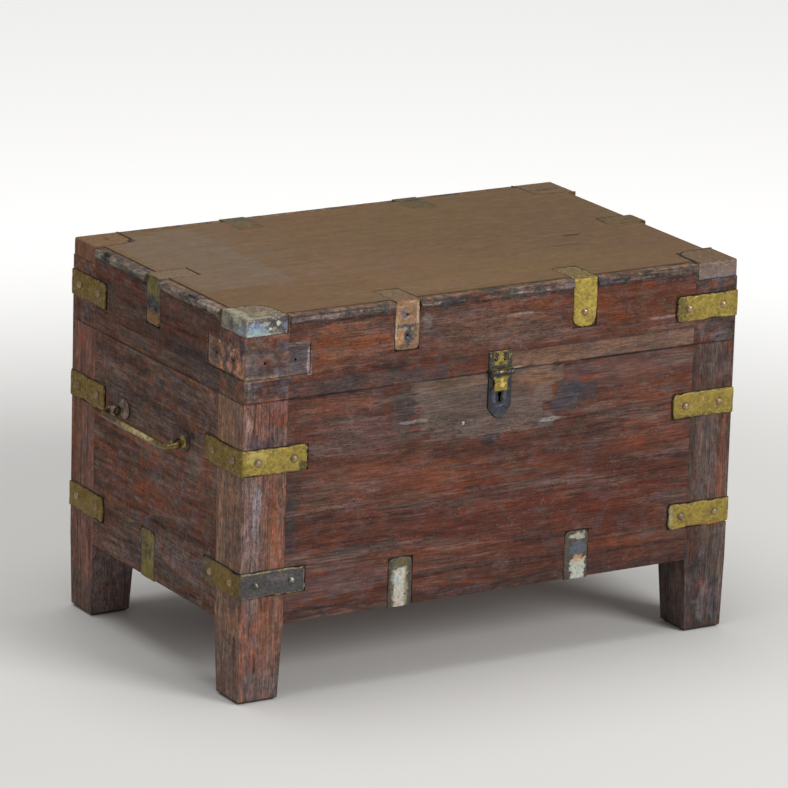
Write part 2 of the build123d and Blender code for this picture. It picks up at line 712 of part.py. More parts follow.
def bottom_board(index):
    """One of the boards of the bottom, its ends and outer edge in the panels' grooves."""
    reach_x = HALF_WIDTH - PANEL_THICKNESS + GROOVE_DEPTH
    reach_y = HALF_DEPTH - PANEL_THICKNESS + GROOVE_DEPTH
    step = 2 * reach_y / BOTTOM_BOARDS
    low = -reach_y + index * step
    tall = (BOTTOM_BOARD_LOW, BOTTOM_BOARD_LOW + BOTTOM_THICKNESS)
    plank = box_between((-reach_x, low, tall[0]), (reach_x, low + step, tall[1]))
    around_post = (0, POST_SIZE + GROOVE_CLEARANCE)
    notches = [corner_box(corner, around_post, around_post, (0, SEAM_HEIGHT)) for corner in CORNERS]
    return cut(plank, notches)


# ---------------------------------------------------------------- lid woodwork

def stub(corner, cuts):
    """The lid's corner block, in line with the post below it."""
    block = corner_box(corner, (0, POST_SIZE), (0, POST_SIZE), (LID_BOTTOM, TOP_UNDERSIDE))
    span = (LID_BOTTOM + TONGUE_SHOULDER, TOP_UNDERSIDE - TONGUE_SHOULDER)
    return cut(block, mortises(corner, RAIL_THICKNESS, span) + cuts)


def rail(side, cuts):
    """One side of the lid's frame."""
    return cut(board(side, RAIL_THICKNESS, LID_BOTTOM, TOP_UNDERSIDE), cuts)


def top_blank():
    """The whole top: a plate inside the edge strips, with tabs out to the rim under caps and straps."""
    tall = (TOP_UNDERSIDE, LID_TOP)
    reach_x = HALF_WIDTH - STRIP_REBATE
    reach_y = HALF_DEPTH - STRIP_REBATE
    top = box_between((-reach_x, -reach_y, tall[0]), (reach_x, reach_y, tall[1]))
    for corner in CORNERS:
        top = top + corner_box(corner, (0, POST_SIZE), (0, POST_SIZE), tall)
    for side, across in TOP_STRAPS:
        top = top + face_box(side, around(across, EDGE_STRAP_WIDTH), tall, (-STRIP_REBATE, 0))
    return top


def top_board(half, cuts):
    """The front or the back half of the top."""
    keep = box_between((-WIDTH, 0, 0), (WIDTH, half * DEPTH, 2 * LID_TOP))
    return cut(top_blank() & keep, cuts)


def strip_ranges(side):
    """The ranges across a face between its caps and straps, where an edge strip lies."""
    reach = HALF_DEPTH if side in ("left", "right") else HALF_WIDTH
    stops = [(-reach, -reach + POST_SIZE)]
    stops += sorted(around(across, EDGE_STRAP_WIDTH) for face, across in TOP_STRAPS if face == side)
    stops += [(reach - POST_SIZE, reach)]
    return [(a[1] + STRIP_END_GAP, b[0] - STRIP_END_GAP) for a, b in zip(stops, stops[1:])]


def edge_strips(side):
    """The worn moulding strips along one side of the top."""
    strips = []
    for across in strip_ranges(side):
        crown = LID_TOP - STRIP_DROP
        strip = face_box(side, across, (TOP_UNDERSIDE, crown), (-STRIP_REBATE, 0))
        strip = strip + face_box(side, across, (crown - STRIP_NOSE, crown), (-STRIP_REBATE, STRIP_OVERHANG))
        plane = face_plane(side)
        outer = plane.from_local_coords((sum(across) / 2, LID_TOP, STRIP_REBATE))
        lip = strip.edges().filter_by(Axis((0, 0, 0), plane.x_dir)).sort_by_distance(outer)[0]
        strips.append(fillet(lip, STRIP_ROUND))
    return strips


# ---------------------------------------------------------------- fixings

def nail_carcass():
    """The nails of the chest below the seam, and the holes where nails are lost."""
    nails = Nails()
    for heights in (UPPER_STRAP_HEIGHTS, LOWER_STRAP_HEIGHTS):
        for corner, height in heights.items():
            for seat in corner_seats(corner, height, (NAIL_NEAR, NAIL_FAR), STRAP_PROUD):
                nails.drive(seat)
    for side, across in BOTTOM_STRAPS:
        nails.drive(under_seat(side, across))
        if side != "front":
            nails.lose(face_seat(side, across, LEG_HEIGHT + BOTTOM_ARM_NAIL, EDGE_STRAP_PROUD))
    for across in HINGE_PLACES:
        for step in range(HINGE_NAILS):
            height = SEAM_HEIGHT - HINGE_FIRST_NAIL - step * HINGE_NAIL_STEP
            nails.drive(face_seat("back", across, height, EDGE_STRAP_PROUD))
    return nails


def nail_lid():
    """The nails of the lid, and the holes where nails are lost."""
    nails = Nails()
    for corner in LID_STRAP_CORNERS:
        for seat in corner_seats(corner, LID_STRAP_HEIGHT, (NAIL_NEAR, NAIL_FAR), STRAP_PROUD):
            nails.drive(seat)
    for seat in corner_seats(LOST_STRAP_CORNER, LID_STRAP_HEIGHT, (LOST_NAIL_NEAR, NAIL_FAR), 0):
        nails.lose(seat)
    for side, across in TOP_STRAPS:
        seat = face_seat(side, across, LID_TOP - LID_ARM_NAIL, EDGE_STRAP_PROUD)
        if (side, across) == TOP_STRAPS[0]:
            nails.lose(seat)
            nails.lose(face_seat(side, across, LID_TOP - LOST_NAIL_HIGH, EDGE_STRAP_PROUD))
            nails.lose(top_seat(side, across, LOST_NAIL_TOP))
        else:
            nails.drive(seat)
    return nails


def hasp_screws():
    """The two screws of the hasp's leaf."""
    screw = make_nail(SCREW_HEAD_RADIUS, SCREW_HEAD_HEIGHT, NAIL_LENGTH)
    seats = [
        face_seat("front", LOCK_X + sign * SCREW_OFFSET, AXIS_HEIGHT + SCREW_HEIGHT, HASP_PROUD)
        for sign in (-1, 1)
    ]
    return [seat * screw for seat in seats], [seat * make_hole(NAIL_LENGTH + HOLE_END_GAP) for seat in seats]


# ---------------------------------------------------------------- the chest

def build_carcass():
    """Everything that is fixed below the seam."""
    nails = nail_carcass()
    recesses = [bottom_strap_recess(side, across) for side, across in BOTTOM_STRAPS]
    recesses += [hinge_recess(across) for across in HINGE_PLACES]
    for heights in (UPPER_STRAP_HEIGHTS, LOWER_STRAP_HEIGHTS):
        for corner, height in heights.items():
            recesses.append(corner_strap_recess(corner, height, STRAP_WIDTH))
    cuts = recesses + nails.holes
    for corner in CORNERS:
        save("post_" + corner, post(corner, cuts))
        for name, heights in (("upper_strap_", UPPER_STRAP_HEIGHTS), ("lower_strap_", LOWER_STRAP_HEIGHTS)):
            save(name + corner, cut(corner_strap(corner, heights[corner]), nails.holes))
    save("panel_front", panel("front", cuts + lock_mortise()))
    save("panel_back", panel("back", cuts))
    save("panel_left", panel("left", cuts + handle_holes("left")))
    save("panel_right", panel("right", cuts + handle_holes("right")))
    for index in range(BOTTOM_BOARDS):
        save("bottom_board_" + str(index + 1), bottom_board(index))
    for name, sides in (("front", ("front",)), ("sides", ("left", "right")), ("back", ("back",))):
        straps = [cut(bottom_strap(*place), nails.holes) for place in BOTTOM_STRAPS if place[0] in sides]
        save("bottom_straps_" + name, Compound(children=straps))
    leaves = [cut(hinge_lower_leaf(across), nails.holes) for across in HINGE_PLACES]
    save("hinge_lower_leaves", Compound(children=leaves))
    pins = [barrel("back", around(across, EDGE_STRAP_WIDTH), PIN_RADIUS) for across in HINGE_PLACES]
    save("hinge_pins", Compound(children=pins))
    save("lock_plate", lock_plate())
    save("lock_case", lock_case())
    save("handle_eyes_left", Compound(children=handle_eyes("left")))
    save("handle_eyes_right", Compound(children=handle_eyes("right")))
    save("carcass_nails", nails.group())


def build_lid():
    """Everything that lifts with the lid."""
    nails = nail_lid()
    screws, screw_holes = hasp_screws()
    caps = {corner: corner_cap(corner) for corner in CORNERS}
    recesses = [top_strap_recess(side, across) for side, across in TOP_STRAPS if side != "back"]
    recesses += [hinge_recess(across) for across in HINGE_PLACES]
    recesses += [corner_strap_recess(corner, LID_STRAP_HEIGHT, STRAP_WIDTH) for corner in LID_STRAP_CORNERS]
    recesses.append(corner_strap_recess(LOST_STRAP_CORNER, LID_STRAP_HEIGHT, LOST_RECESS_WIDTH))
    cuts = recesses + nails.holes + screw_holes + [hasp_leaf_blank()] + list(caps.values())
    for corner in CORNERS:
        save("lid_stub_" + corner, stub(corner, cuts))
        save("corner_cap_" + corner, caps[corner])
    for corner in LID_STRAP_CORNERS:
        save("lid_strap_" + corner, cut(corner_strap(corner, LID_STRAP_HEIGHT), nails.holes))
    for side in FACES:
        save("lid_rail_" + side, rail(side, cuts))
    save("top_board_front", top_board(-1, cuts))
    save("top_board_back", top_board(1, cuts))
    for side in ("front", "left", "back"):
        save("edge_strips_" + side, Compound(children=edge_strips(side)))
    straps = [cut(top_strap(side, across), nails.holes) for side, across in TOP_STRAPS if side != "back"]
    save("top_strap_front_left", straps[0])
    save("top_strap_front_right", straps[1])
    save("top_straps_sides", Compound(children=straps[2:]))
    leaves = [cut(hinge_upper_leaf(across), nails.holes) for across in HINGE_PLACES]
    save("hinge_upper_leaves", Compound(children=leaves))
    save("hasp_leaf", hasp_leaf(screw_holes))
    save("hasp_pin", barrel("front", lock_range(HASP_LEAF_WIDTH), PIN_RADIUS))
    save("lid_nails", Compound(children=nails.solids + screws))


def build_moving():
    """The pieces that swing or slide by themselves."""
    save("hasp", hasp())
    save("lock_bolt", lock_bolt())
    save("handle_left", handle_bail("left"))
    save("handle_right", handle_bail("right"))


os.makedirs("parts", exist_ok=True)
build_carcass()
build_lid()
build_moving()
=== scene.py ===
"""Dresses a damchiya chest: rubbed and bleached hardwood, hammered brass straps and old painted iron.

Metres. X runs along the front from left to right, Y runs from front to back and Z is up.
"""
import math

import bmesh
import bpy
from bpy.props import FloatProperty, FloatVectorProperty, PointerProperty
from mathutils import Matrix, Vector, noise


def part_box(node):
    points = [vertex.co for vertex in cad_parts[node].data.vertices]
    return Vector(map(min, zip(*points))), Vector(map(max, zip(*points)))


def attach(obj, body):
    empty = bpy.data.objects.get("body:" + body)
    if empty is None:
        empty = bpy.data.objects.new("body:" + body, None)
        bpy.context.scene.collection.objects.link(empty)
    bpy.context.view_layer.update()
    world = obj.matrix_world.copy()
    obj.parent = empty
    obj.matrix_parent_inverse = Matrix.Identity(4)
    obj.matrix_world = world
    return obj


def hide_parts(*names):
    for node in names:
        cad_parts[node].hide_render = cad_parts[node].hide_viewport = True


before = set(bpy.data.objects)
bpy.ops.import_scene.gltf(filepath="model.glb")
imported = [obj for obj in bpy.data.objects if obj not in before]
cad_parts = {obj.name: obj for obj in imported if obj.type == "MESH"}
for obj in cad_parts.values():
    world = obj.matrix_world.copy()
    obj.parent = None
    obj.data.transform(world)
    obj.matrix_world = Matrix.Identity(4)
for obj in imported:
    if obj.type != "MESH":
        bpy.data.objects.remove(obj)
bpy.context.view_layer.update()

bl_info = {
    "name": "Damchiya chest",
    "version": (1, 0, 0),
    "blender": (4, 5, 0),
    "location": "View3D > Sidebar > Chest",
    "description": "Finishes and worn metalwork for a strapped wooden chest",
    "category": "Object",
}

MM = 0.001
LOWS, HIGHS = zip(*(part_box("post_" + end) for end in ("front_left", "back_right")))
LEFT, FRONT = LOWS[0].xy
RIGHT, BACK, SEAM = HIGHS[1]
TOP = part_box("top_board_front")[1].z
LEG_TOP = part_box("panel_front")[0].z
NOWHERE = (0.0, 0.0, 0.0)

WOOD_EDGE = 1.4 * MM  # rounding that shows along an edge
METAL_EDGE = 1.0 * MM
WOOD_SHADE_AND_DIRT = 9 * MM  # how far painted shade and dirt reach from whatever stands over a surface
METAL_SHADE_AND_DIRT = 4 * MM
RUBBED = 8 * MM  # how much of a post's outer corner is rubbed
SEAM_SHADE = (2.2 * MM, 0.7 * MM)  # how far from the lid's seam its painted shade begins and is full

STEP = 2.5 * MM  # spacing of a piece's points
WELD = 1e-6  # points nearer than this are one
STRAP_SHEET = 3.3 * MM  # thicknesses
FOLDED_SHEET = 2.2 * MM
CAP_SHEET = 1.2 * MM
STRAP_BEND = 3.2 * MM  # radii of the bends
FOLDED_BEND = 2.0 * MM
STRAP_END = 8 * MM  # how far from its ends a strap is ragged
STRAP_RIM = 3.5 * MM  # how wide its dark rim is
STRAP_ROUNDS = (6 * MM, 6 * MM)  # how round its corners are at each end
NAIL_HOLE = 1.75 * MM  # radius of a lost nail's hole
# Where the points across a strap lie, from edge to edge.
ACROSS = (-1.0, -0.985, -0.95, -0.86, -0.7, -0.5, -0.25, 0.0, 0.25, 0.5, 0.7, 0.86, 0.95, 0.985, 1.0)


# ---------------------------------------------------------------- settings

def linear(red, green, blue):
    """A colour given as eight-bit screen values, as the linear values that a shader takes."""
    return tuple(
        value / 255 / 12.92 if value < 10.3 else ((value / 255 + 0.055) / 1.055) ** 2.4
        for value in (red, green, blue)
    )


def tinted(shade, factor):
    """A colour made lighter or darker."""
    return tuple(min(1.0, value * factor) for value in shade)


def colour(name, description, *shade):
    """A colour setting."""
    return FloatVectorProperty(name=name, description=description, subtype="COLOR", size=3, min=0.0, max=1.0,
                               default=linear(*shade))


def number(name, description, value, **more):
    """A number setting."""
    return FloatProperty(name=name, description=description, default=value, **more)


def length(name, description, millimetres):
    """A length setting."""
    return number(name, description, millimetres * MM, unit="LENGTH", min=0.0, precision=4)


def angle(name, description, degrees):
    """An angle setting."""
    return number(name, description, math.radians(degrees), subtype="ANGLE")


class ChestWoodSettings(bpy.types.PropertyGroup):
    """Colours of the wood."""

    red: colour("Red", "Main colour of the panels and rails", 86, 47, 34)
    orange: colour("Orange", "Rubbed, warmer streaks", 120, 58, 27)
    dark: colour("Dark", "Dark streaks and stains", 36, 27, 30)
    grey: colour("Grey", "Bleached, greyish streaks", 112, 95, 88)
    post: colour("Post", "Main colour of the left posts", 132, 88, 72)
    post_right: colour("Right post", "Main colour of the right posts", 74, 54, 46)
    top: colour("Top", "Bleached top", 117, 91, 62)
    inside: colour("Inside", "Bare wood inside and underneath", 104, 76, 54)
    weathered_and_lit: colour("Weathered", "Inner faces of the legs", 60, 56, 55)
    pale: colour("Pale", "Fresh, rubbed corners", 156, 128, 110)
    # Dirt, and also the colour of painted shade in the lid's seam and wherever something stands over a
    # surface.
    grime_and_shade: colour("Grime", "Dirt in joints and round the metal", 26, 21, 20)
    grub: colour("Grubbiness", "Purplish-grey blots of old dirt", 92, 82, 88)
    moss: colour("Moss", "Greenish-grey blots of old dirt", 84, 78, 60)
    grain_size: number("Grain", "Size of the grain", 1.0, min=0.1, max=10.0)


class ChestMetalSettings(bpy.types.PropertyGroup):
    """Colours of the straps, caps and fittings."""

    brass: colour("Brass", "Bright hammered brass", 152, 132, 60)
    olive: colour("Olive", "Tarnished brass", 106, 90, 46)
    tan: colour("Tan", "Rubbed brass on the top", 140, 120, 78)
    copper: colour("Copper", "Coppery worn strap", 152, 116, 92)
    iron: colour("Iron", "Dark blue-grey iron", 54, 55, 62)
    nail: colour("Nail", "Domed nail heads", 166, 140, 110)
    pink: colour("Pink metal", "Dull pinkish cap", 128, 102, 90)
    hammering: length("Hammering", "Depth of the hammer marks", 0.45)
    wander: length("Wander", "How far a strap's edges wander", 1.9)
    rounding: length("Rounding", "Rounding of a strap's edges", 1.4)


class ChestStageSettings(bpy.types.PropertyGroup):
    """The floor, the lamps and the camera."""

    floor: colour("Floor", "Plain pale floor", 236, 235, 232)
    floor_radius: number("Floor radius", "Radius of the floor", 14.0, unit="LENGTH")
    key: number("Key", "Strength of the front lamp", 155.0, subtype="POWER")
    above: number("Above", "Strength of the lamp above", 58.0, subtype="POWER")
    fill: number("Fill", "Strength of the light from all round", 0.28)
    azimuth: angle("Azimuth", "Where the camera stands", -31.11)
    elevation: angle("Elevation", "How far up the camera is", 15.98)
    roll: angle("Roll", "Roll of the camera", 1.674)
    distance: number("Distance", "From the camera to its aim", 7.6, unit="LENGTH")
    aim: FloatVectorProperty(name="Aim", description="Middle of the view", subtype="TRANSLATION", size=3,
                             default=(0.0, 0.01965, 0.3112))
    lens: number("Lens", "Focal length in millimetres", 255.05)


# ---------------------------------------------------------------- nodes

class Tree:
    """Adds nodes to one tree and feeds values or sockets into them."""

    def __init__(self, tree):
        self.tree = tree

    def feed(self, socket, value):
        """Link a socket into another, or set its value."""
        if isinstance(value, bpy.types.NodeSocket):
            self.tree.links.new(value, socket)
        elif socket.type == "RGBA" and len(value) == 3:
            socket.default_value = (*value, 1.0)
        else:
            socket.default_value = value

    def add(self, kind, inputs=None, **settings):
        """A new shader node with its settings and inputs."""
        node = self.tree.nodes.new("ShaderNode" + kind)
        for name, value in settings.items():
            setattr(node, name, value)
        for name, value in (inputs or {}).items():
            self.feed(node.inputs[name], value)
        return node

    def math(self, operation, *values, kind="Math", result=0):
        """One step of arithmetic."""
        node = self.add(kind, operation=operation)
        for socket, value in zip(node.inputs, values):
            self.feed(socket, value)
        return node.outputs[result]

    def vector(self, operation, *values, result="Vector"):
        """One step of vector arithmetic."""
        return self.math(operation, *values, kind="VectorMath", result=result)

    def times(self, first, second):
        """One value times another."""
        return self.math("MULTIPLY", first, second)

    def parts(self, vector):
        """The three parts of a vector."""
        return self.add("SeparateXYZ", {"Vector": vector}).outputs

    def remap(self, value, low, high, to_low=0.0, to_high=1.0):
        """A value eased from one range to another."""
        inputs = {"Value": value, "From Min": low, "From Max": high, "To Min": to_low, "To Max": to_high}
        return self.add("MapRange", inputs, interpolation_type="SMOOTHSTEP").outputs["Result"]

    def blend(self, factor, first, second, kind="MIX"):
        """Two colours mixed by a mask."""
        node = self.add("Mix", data_type="RGBA", blend_type=kind)
        for index, value in zip((0, 6, 7), (factor, first, second)):
            self.feed(node.inputs[index], value)
        return node.outputs[2]

    def lay(self, mask, amount, under, over):
        """A colour laid over another, through a mask and by an amount."""
        return self.blend(self.times(mask, amount), under, over)

    def dim(self, shade, value):
        """A colour times a value."""
        grey = self.add("CombineColor", {0: value, 1: value, 2: value}).outputs[0]
        return self.blend(1.0, shade, grey, "MULTIPLY")

    def speckle(self, vector, scale, detail, roughness, distortion=0.0):
        """Noise from 0 to 1."""
        inputs = {"Vector": vector, "Scale": scale, "Detail": detail, "Roughness": roughness}
        return self.add("TexNoise", {**inputs, "Distortion": distortion}).outputs[0]

    def stretch(self, vector, scale, offset=NOWHERE):
        """Coordinates scaled along each axis and moved."""
        return self.add("Mapping", {"Vector": vector, "Location": offset, "Scale": scale}).outputs[0]

    def elsewhere(self, vector, offset, *shape):
        """Noise taken from another part of its field."""
        return self.speckle(self.stretch(vector, (1.0, 1.0, 1.0), offset), *shape)

    def group(self, tree, inputs):
        """One of the chest's shared effects."""
        return self.add("Group", inputs, node_tree=tree).outputs


def effect(name, vectors, numbers, build):
    """A shared effect as a shader node group, built once. Its outputs are what its builder returns."""
    known = bpy.data.node_groups.get(name)
    if known:
        return known
    tree = bpy.data.node_groups.new(name, "ShaderNodeTree")
    for label in vectors:
        tree.interface.new_socket(label, in_out="INPUT", socket_type="NodeSocketVector")
    for label, value in numbers.items():
        tree.interface.new_socket(label, in_out="INPUT", socket_type="NodeSocketFloat").default_value = value
    entry = tree.nodes.new("NodeGroupInput").outputs
    leave = tree.nodes.new("NodeGroupOutput").inputs
    for label, socket in build(Tree(tree), entry).items():
        kind = "Vector" if socket.type == "VECTOR" else "Float"
        tree.interface.new_socket(label, in_out="OUTPUT", socket_type="NodeSocket" + kind)
        tree.links.new(socket, leave[label])
    return tree


def grain_effect():
    """Wood grain along X: broad zones, streaks, threads, fibres, a bleached wash, pores and relief."""

    def build(tree, entry):
        place = entry["Vector"]
        scaled = tree.stretch(place, (4.0, 12.0, 12.0))
        bent = tree.add("TexNoise", {"Vector": scaled, "Scale": 1.0, "Detail": 1.0}).outputs["Color"]
        shift = tree.vector("SUBTRACT", bent, (0.5, 0.5, 0.5))
        along = tree.vector("MULTIPLY_ADD", shift, (0.0, 0.010, 0.010), place)

        def drawn(vector, coarse, fine, detail, roughness, distortion=0.0, offset=NOWHERE):
            """Noise that is coarse along the grain and fine across it."""
            scaled = tree.stretch(vector, (coarse, fine, fine), offset)
            return tree.speckle(scaled, 1.0, detail, roughness, distortion)

        zone = drawn(along, 2.4, 15.0, 5.0, 0.66, 0.3, (7.0, 3.0, 1.0))
        cloud = drawn(along, 4.0, 30.0, 6.0, 0.72, 0.4, (3.0, 9.0, 5.0))
        patch = drawn(along, 12.0, 66.0, 5.0, 0.64, 0.6, (9.0, 4.0, 6.0))
        streak = drawn(along, 5.0, 140.0, 5.0, 0.7, 0.25)
        thread = drawn(along, 9.0, 330.0, 4.0, 0.7, 0.0, (1.0, 2.0, 8.0))
        fibre = drawn(along, 40.0, 640.0, 3.0, 0.7)
        wash = tree.times(tree.remap(cloud, 0.46, 0.62), tree.remap(thread, 0.4, 0.58))
        pitted = drawn(along, 150.0, 620.0, 2.0, 0.6)
        pores = tree.times(tree.remap(pitted, 0.56, 0.66), tree.remap(zone, 0.6, 0.42))
        slanted = tree.add("Mapping", {"Vector": place, "Rotation": (0.0, 0.42, 0.42)}).outputs[0]
        lines = drawn(slanted, 22.0, 520.0, 1.0, 0.5)
        some = drawn(place, 14.0, 30.0, 2.0, 0.5, 0.0, (4.0, 4.0, 4.0))
        scratches = tree.times(tree.remap(lines, 0.64, 0.70), tree.remap(some, 0.52, 0.60))
        relief = tree.math("MULTIPLY_ADD", streak, 0.5, tree.times(thread, 0.3))
        relief = tree.math("MULTIPLY_ADD", fibre, 0.2, relief)
        relief = tree.math("SUBTRACT", relief, tree.times(pores, 0.3))
        return {
            "Zone": zone, "Streak": streak, "Thread": thread, "Fibre": fibre, "Wash": wash, "Pores": pores,
            "Scratches": scratches, "Relief": relief, "Patch": tree.remap(patch, 0.36, 0.64),
        }

    return effect("Wood grain", ["Vector"], {}, build)


def mottle_effect():
    """Marks of age that follow no grain: grey and warm blots, light and dark spots, and pale flecks."""

    def build(tree, entry):
        place = entry["Vector"]
        grey = tree.speckle(place, 42.0, 6.0, 0.68, 0.6)
        hue = tree.elsewhere(place, (0.4, 0.6, 0.8), 19.0, 4.0, 0.62, 0.5)
        warm = tree.elsewhere(place, (0.7, 0.3, 0.1), 27.0, 6.0, 0.76, 0.4)
        light = tree.elsewhere(place, (0.2, 0.9, 0.5), 105.0, 5.0, 0.74)
        fine = tree.speckle(place, 430.0, 3.0, 0.6)
        flecks = tree.times(tree.remap(fine, 0.60, 0.68), tree.remap(grey, 0.48, 0.56))
        return {
            "Grey": tree.remap(grey, 0.49, 0.6), "Warm": tree.remap(warm, 0.5, 0.62),
            "Hue": tree.remap(hue, 0.44, 0.56), "Light": tree.remap(light, 0.34, 0.66), "Flecks": flecks,
        }

    return effect("Old mottling", ["Vector"], {}, build)


def mark_effect(square):
    """A ragged mark on a surface: a rounded blot, or a squared patch."""

    def build(tree, entry):
        apart = tree.vector("SUBTRACT", entry["Vector"], entry["Centre"])
        ragged = tree.speckle(entry["Grain"], 1.0, 4.0, 0.65)
        ragged = tree.times(tree.math("SUBTRACT", ragged, 0.5), entry["Ragged"])
        if square:
            beyond = tree.vector("SUBTRACT", tree.vector("ABSOLUTE", apart), entry["Reach"])
            parts = tree.parts(beyond)
            depth = tree.math("MAXIMUM", tree.math("MAXIMUM", parts[0], parts[1]), parts[2])
        else:
            ratio = tree.vector("LENGTH", tree.vector("DIVIDE", apart, entry["Reach"]), result="Value")
            parts = tree.parts(entry["Reach"])
            least = tree.math("MINIMUM", tree.math("MINIMUM", parts[0], parts[1]), parts[2])
            depth = tree.times(tree.math("SUBTRACT", ratio, 1.0), least)
        depth = tree.math("ADD", depth, ragged)
        inner = tree.times(entry["Soft"], -1.0)
        normal = tree.add("TexCoord").outputs["Normal"]
        faced = tree.math("ABSOLUTE", tree.vector("DOT_PRODUCT", normal, entry["Facing"], result="Value"))
        faced = tree.remap(faced, 0.3, 0.6)
        return {"Mask": tree.times(tree.remap(depth, entry["Soft"], inner), faced)}

    vectors = ("Vector", "Grain", "Centre", "Reach", "Facing")
    name = "Squared mark" if square else "Rounded mark"
    return effect(name, vectors, {"Soft": 0.002, "Ragged": 0.01}, build)


def crevice_effect():
    """Where dirt gathers and painted shade falls: close to whatever stands over the surface."""

    def build(tree, entry):
        near = tree.add("AmbientOcclusion", {"Distance": entry["Distance"]}, samples=6)
        uneven = tree.speckle(entry["Vector"], 130.0, 3.0, 0.6)
        open_sky = tree.math("MULTIPLY_ADD", tree.math("SUBTRACT", uneven, 0.5), 0.35, near.outputs["AO"])
        return {"Mask": tree.remap(open_sky, 0.86, 0.5)}

    return effect("Crevice shade and dirt", ["Vector"], {"Distance": 0.006}, build)


def edge_effect():
    """Where a surface turns over an edge, and the normal of that edge when it is rounded."""

    def build(tree, entry):
        rounded = tree.add("Bevel", {"Radius": entry["Radius"]}, samples=4).outputs[0]
        flat = tree.add("NewGeometry").outputs["Normal"]
        agreeing = tree.vector("DOT_PRODUCT", rounded, flat, result="Value")
        return {"Mask": tree.remap(tree.math("SUBTRACT", 1.0, agreeing), 0.01, 0.16), "Normal": rounded}

    return effect("Rounded edge", [], {"Radius": 0.0015}, build)


def hammer_effect():
    """Hammered sheet: dents, pits, tarnish and bright specks, with painted shade in the dents' hollows and
    painted highlights on their ridges.
    """

    def build(tree, entry):
        place = entry["Vector"]
        wobble = tree.add("TexNoise", {"Vector": place, "Scale": 120.0, "Detail": 2.0}).outputs["Color"]
        moved = tree.vector("MULTIPLY_ADD", wobble, (0.006, 0.006, 0.006), place)
        dents = tree.add("TexVoronoi", {"Vector": moved, "Scale": 165.0}, feature="F1").outputs["Distance"]
        rough = tree.speckle(place, 420.0, 4.0, 0.7)
        tarnish = tree.speckle(place, 60.0, 5.0, 0.7, 0.4)
        specks = tree.remap(tree.speckle(place, 520.0, 3.0, 0.65), 0.54, 0.66)
        bright = tree.remap(tree.elsewhere(place, (0.3, 0.3, 0.9), 240.0, 4.0, 0.7), 0.52, 0.66)
        relief = tree.math("MULTIPLY_ADD", dents, 0.9, tree.times(rough, 0.6))
        return {
            "Tarnish": tree.remap(tarnish, 0.37, 0.65), "Specks": specks, "Relief": relief,
            "Dents": tree.remap(dents, 0.15, 0.75), "Bright": bright,
        }

    return effect("Hammered metal", ["Vector"], {}, build)


# ---------------------------------------------------------------- marks

FACES = {"front": (1, FRONT), "left": (0, LEFT), "top": (2, TOP)}


def mark(face, first, second, wide, tall, shade, strength, ragged, square=False, deep=14.0):
    """A ragged mark on a face: its middle, its reach each way and its raggedness in millimetres."""
    axis, level = FACES[face]
    centre, reach = [first * MM, second * MM], [wide * MM, tall * MM]
    centre.insert(axis, level)
    reach.insert(axis, deep * MM)
    facing = [float(index == axis) for index in range(3)]
    return centre, reach, facing, ragged * MM, linear(*shade), strength, square


def marks(*rows):
    """Marks in the order given. Each row is a mark on the face that is named last before it."""
    laid = []
    for row in rows:
        if isinstance(row, str):
            face = row
        else:
            laid.append(mark(face, *row))
    return laid


def outline(first, second, wide, tall, ways="lrb"):
    """Dark lines of dirt and painted shade round a piece of metal that lies flush in the top: left, right,
    front or back.
    """
    lines = {
        "l": (first - wide, second, 1.2, tall, (56, 46, 40), 0.85),
        "r": (first + wide, second, 0.9, tall, (70, 56, 46), 0.6),
        "f": (first, second - tall, wide, 1.2, (56, 46, 40), 0.7),
        "b": (first, second + tall, wide, 1.2, (66, 54, 42), 0.75),
    }
    return [mark("top", *lines[way], 2.5, True) for way in ways]


# Dirt and painted shade round the metal that lies flush in the top.
FLUSH = [
    *outline(-137.5, -207, 18.6, 29),
    *outline(137.5, -207, 18.6, 29),
    *outline(-137.5, 207, 18.6, 29, "lrf"),
    *outline(137.5, 207, 18.6, 29, "lrf"),
    *outline(350, 9.5, 29, 18.6, "lfb"),
    *outline(-350, 9.5, 29, 18.6, "fr"),
] + marks(
    "top",
    (316, -217, 2.2, 22, (44, 36, 32), 0.95, 2.5, True),
    (319, -190, 3.4, 10, (44, 36, 32), 0.9, 2.5),
    (-316.5, 205, 2.0, 24, (54, 42, 36), 0.9, 2.5, True),
    (-322, 182, 5, 6, (54, 42, 36), 0.8, 3),
    (318, 205, 1.6, 26, (66, 52, 44), 0.6, 2.5, True),
    (338, 176, 20, 2.4, (60, 48, 42), 0.6, 3),
)


# ---------------------------------------------------------------- materials

def start_material(name):
    """A new material with its tree, its shader and the chest's own coordinates."""
    material = bpy.data.materials.new(name)
    material.use_nodes = True
    tree = Tree(material.node_tree)
    shader = material.node_tree.nodes["Principled BSDF"]
    place = tree.add("TexCoord").outputs["Object"]
    return material, tree, shader, place


def add_marks(tree, place, ragging, base, laid):
    """Lay marks over a colour."""
    for centre, reach, facing, ragged, shade, strength, square in laid:
        values = {
            "Vector": place, "Grain": ragging, "Centre": centre, "Reach": reach, "Facing": facing,
            "Ragged": ragged * 4, "Soft": ragged / 4 + 0.4 * MM,
        }
        base = tree.lay(tree.group(mark_effect(square), values)["Mask"], strength, base, shade)
    return base


def finish(tree, shader, base, roughness, relief, depth, edges):
    """Feed a colour, a roughness and a relief into the shader, over softly rounded edges."""
    bump = tree.add("Bump", {"Strength": 1.0, "Distance": depth, "Height": relief, "Normal": edges["Normal"]})
    tree.feed(shader.inputs["Base Color"], base)
    tree.feed(shader.inputs["Roughness"], roughness)
    tree.feed(shader.inputs["Normal"], bump.outputs[0])


GRAIN_ORDER = {"x": (0, 1, 2), "y": (1, 0, 2), "z": (2, 0, 1)}


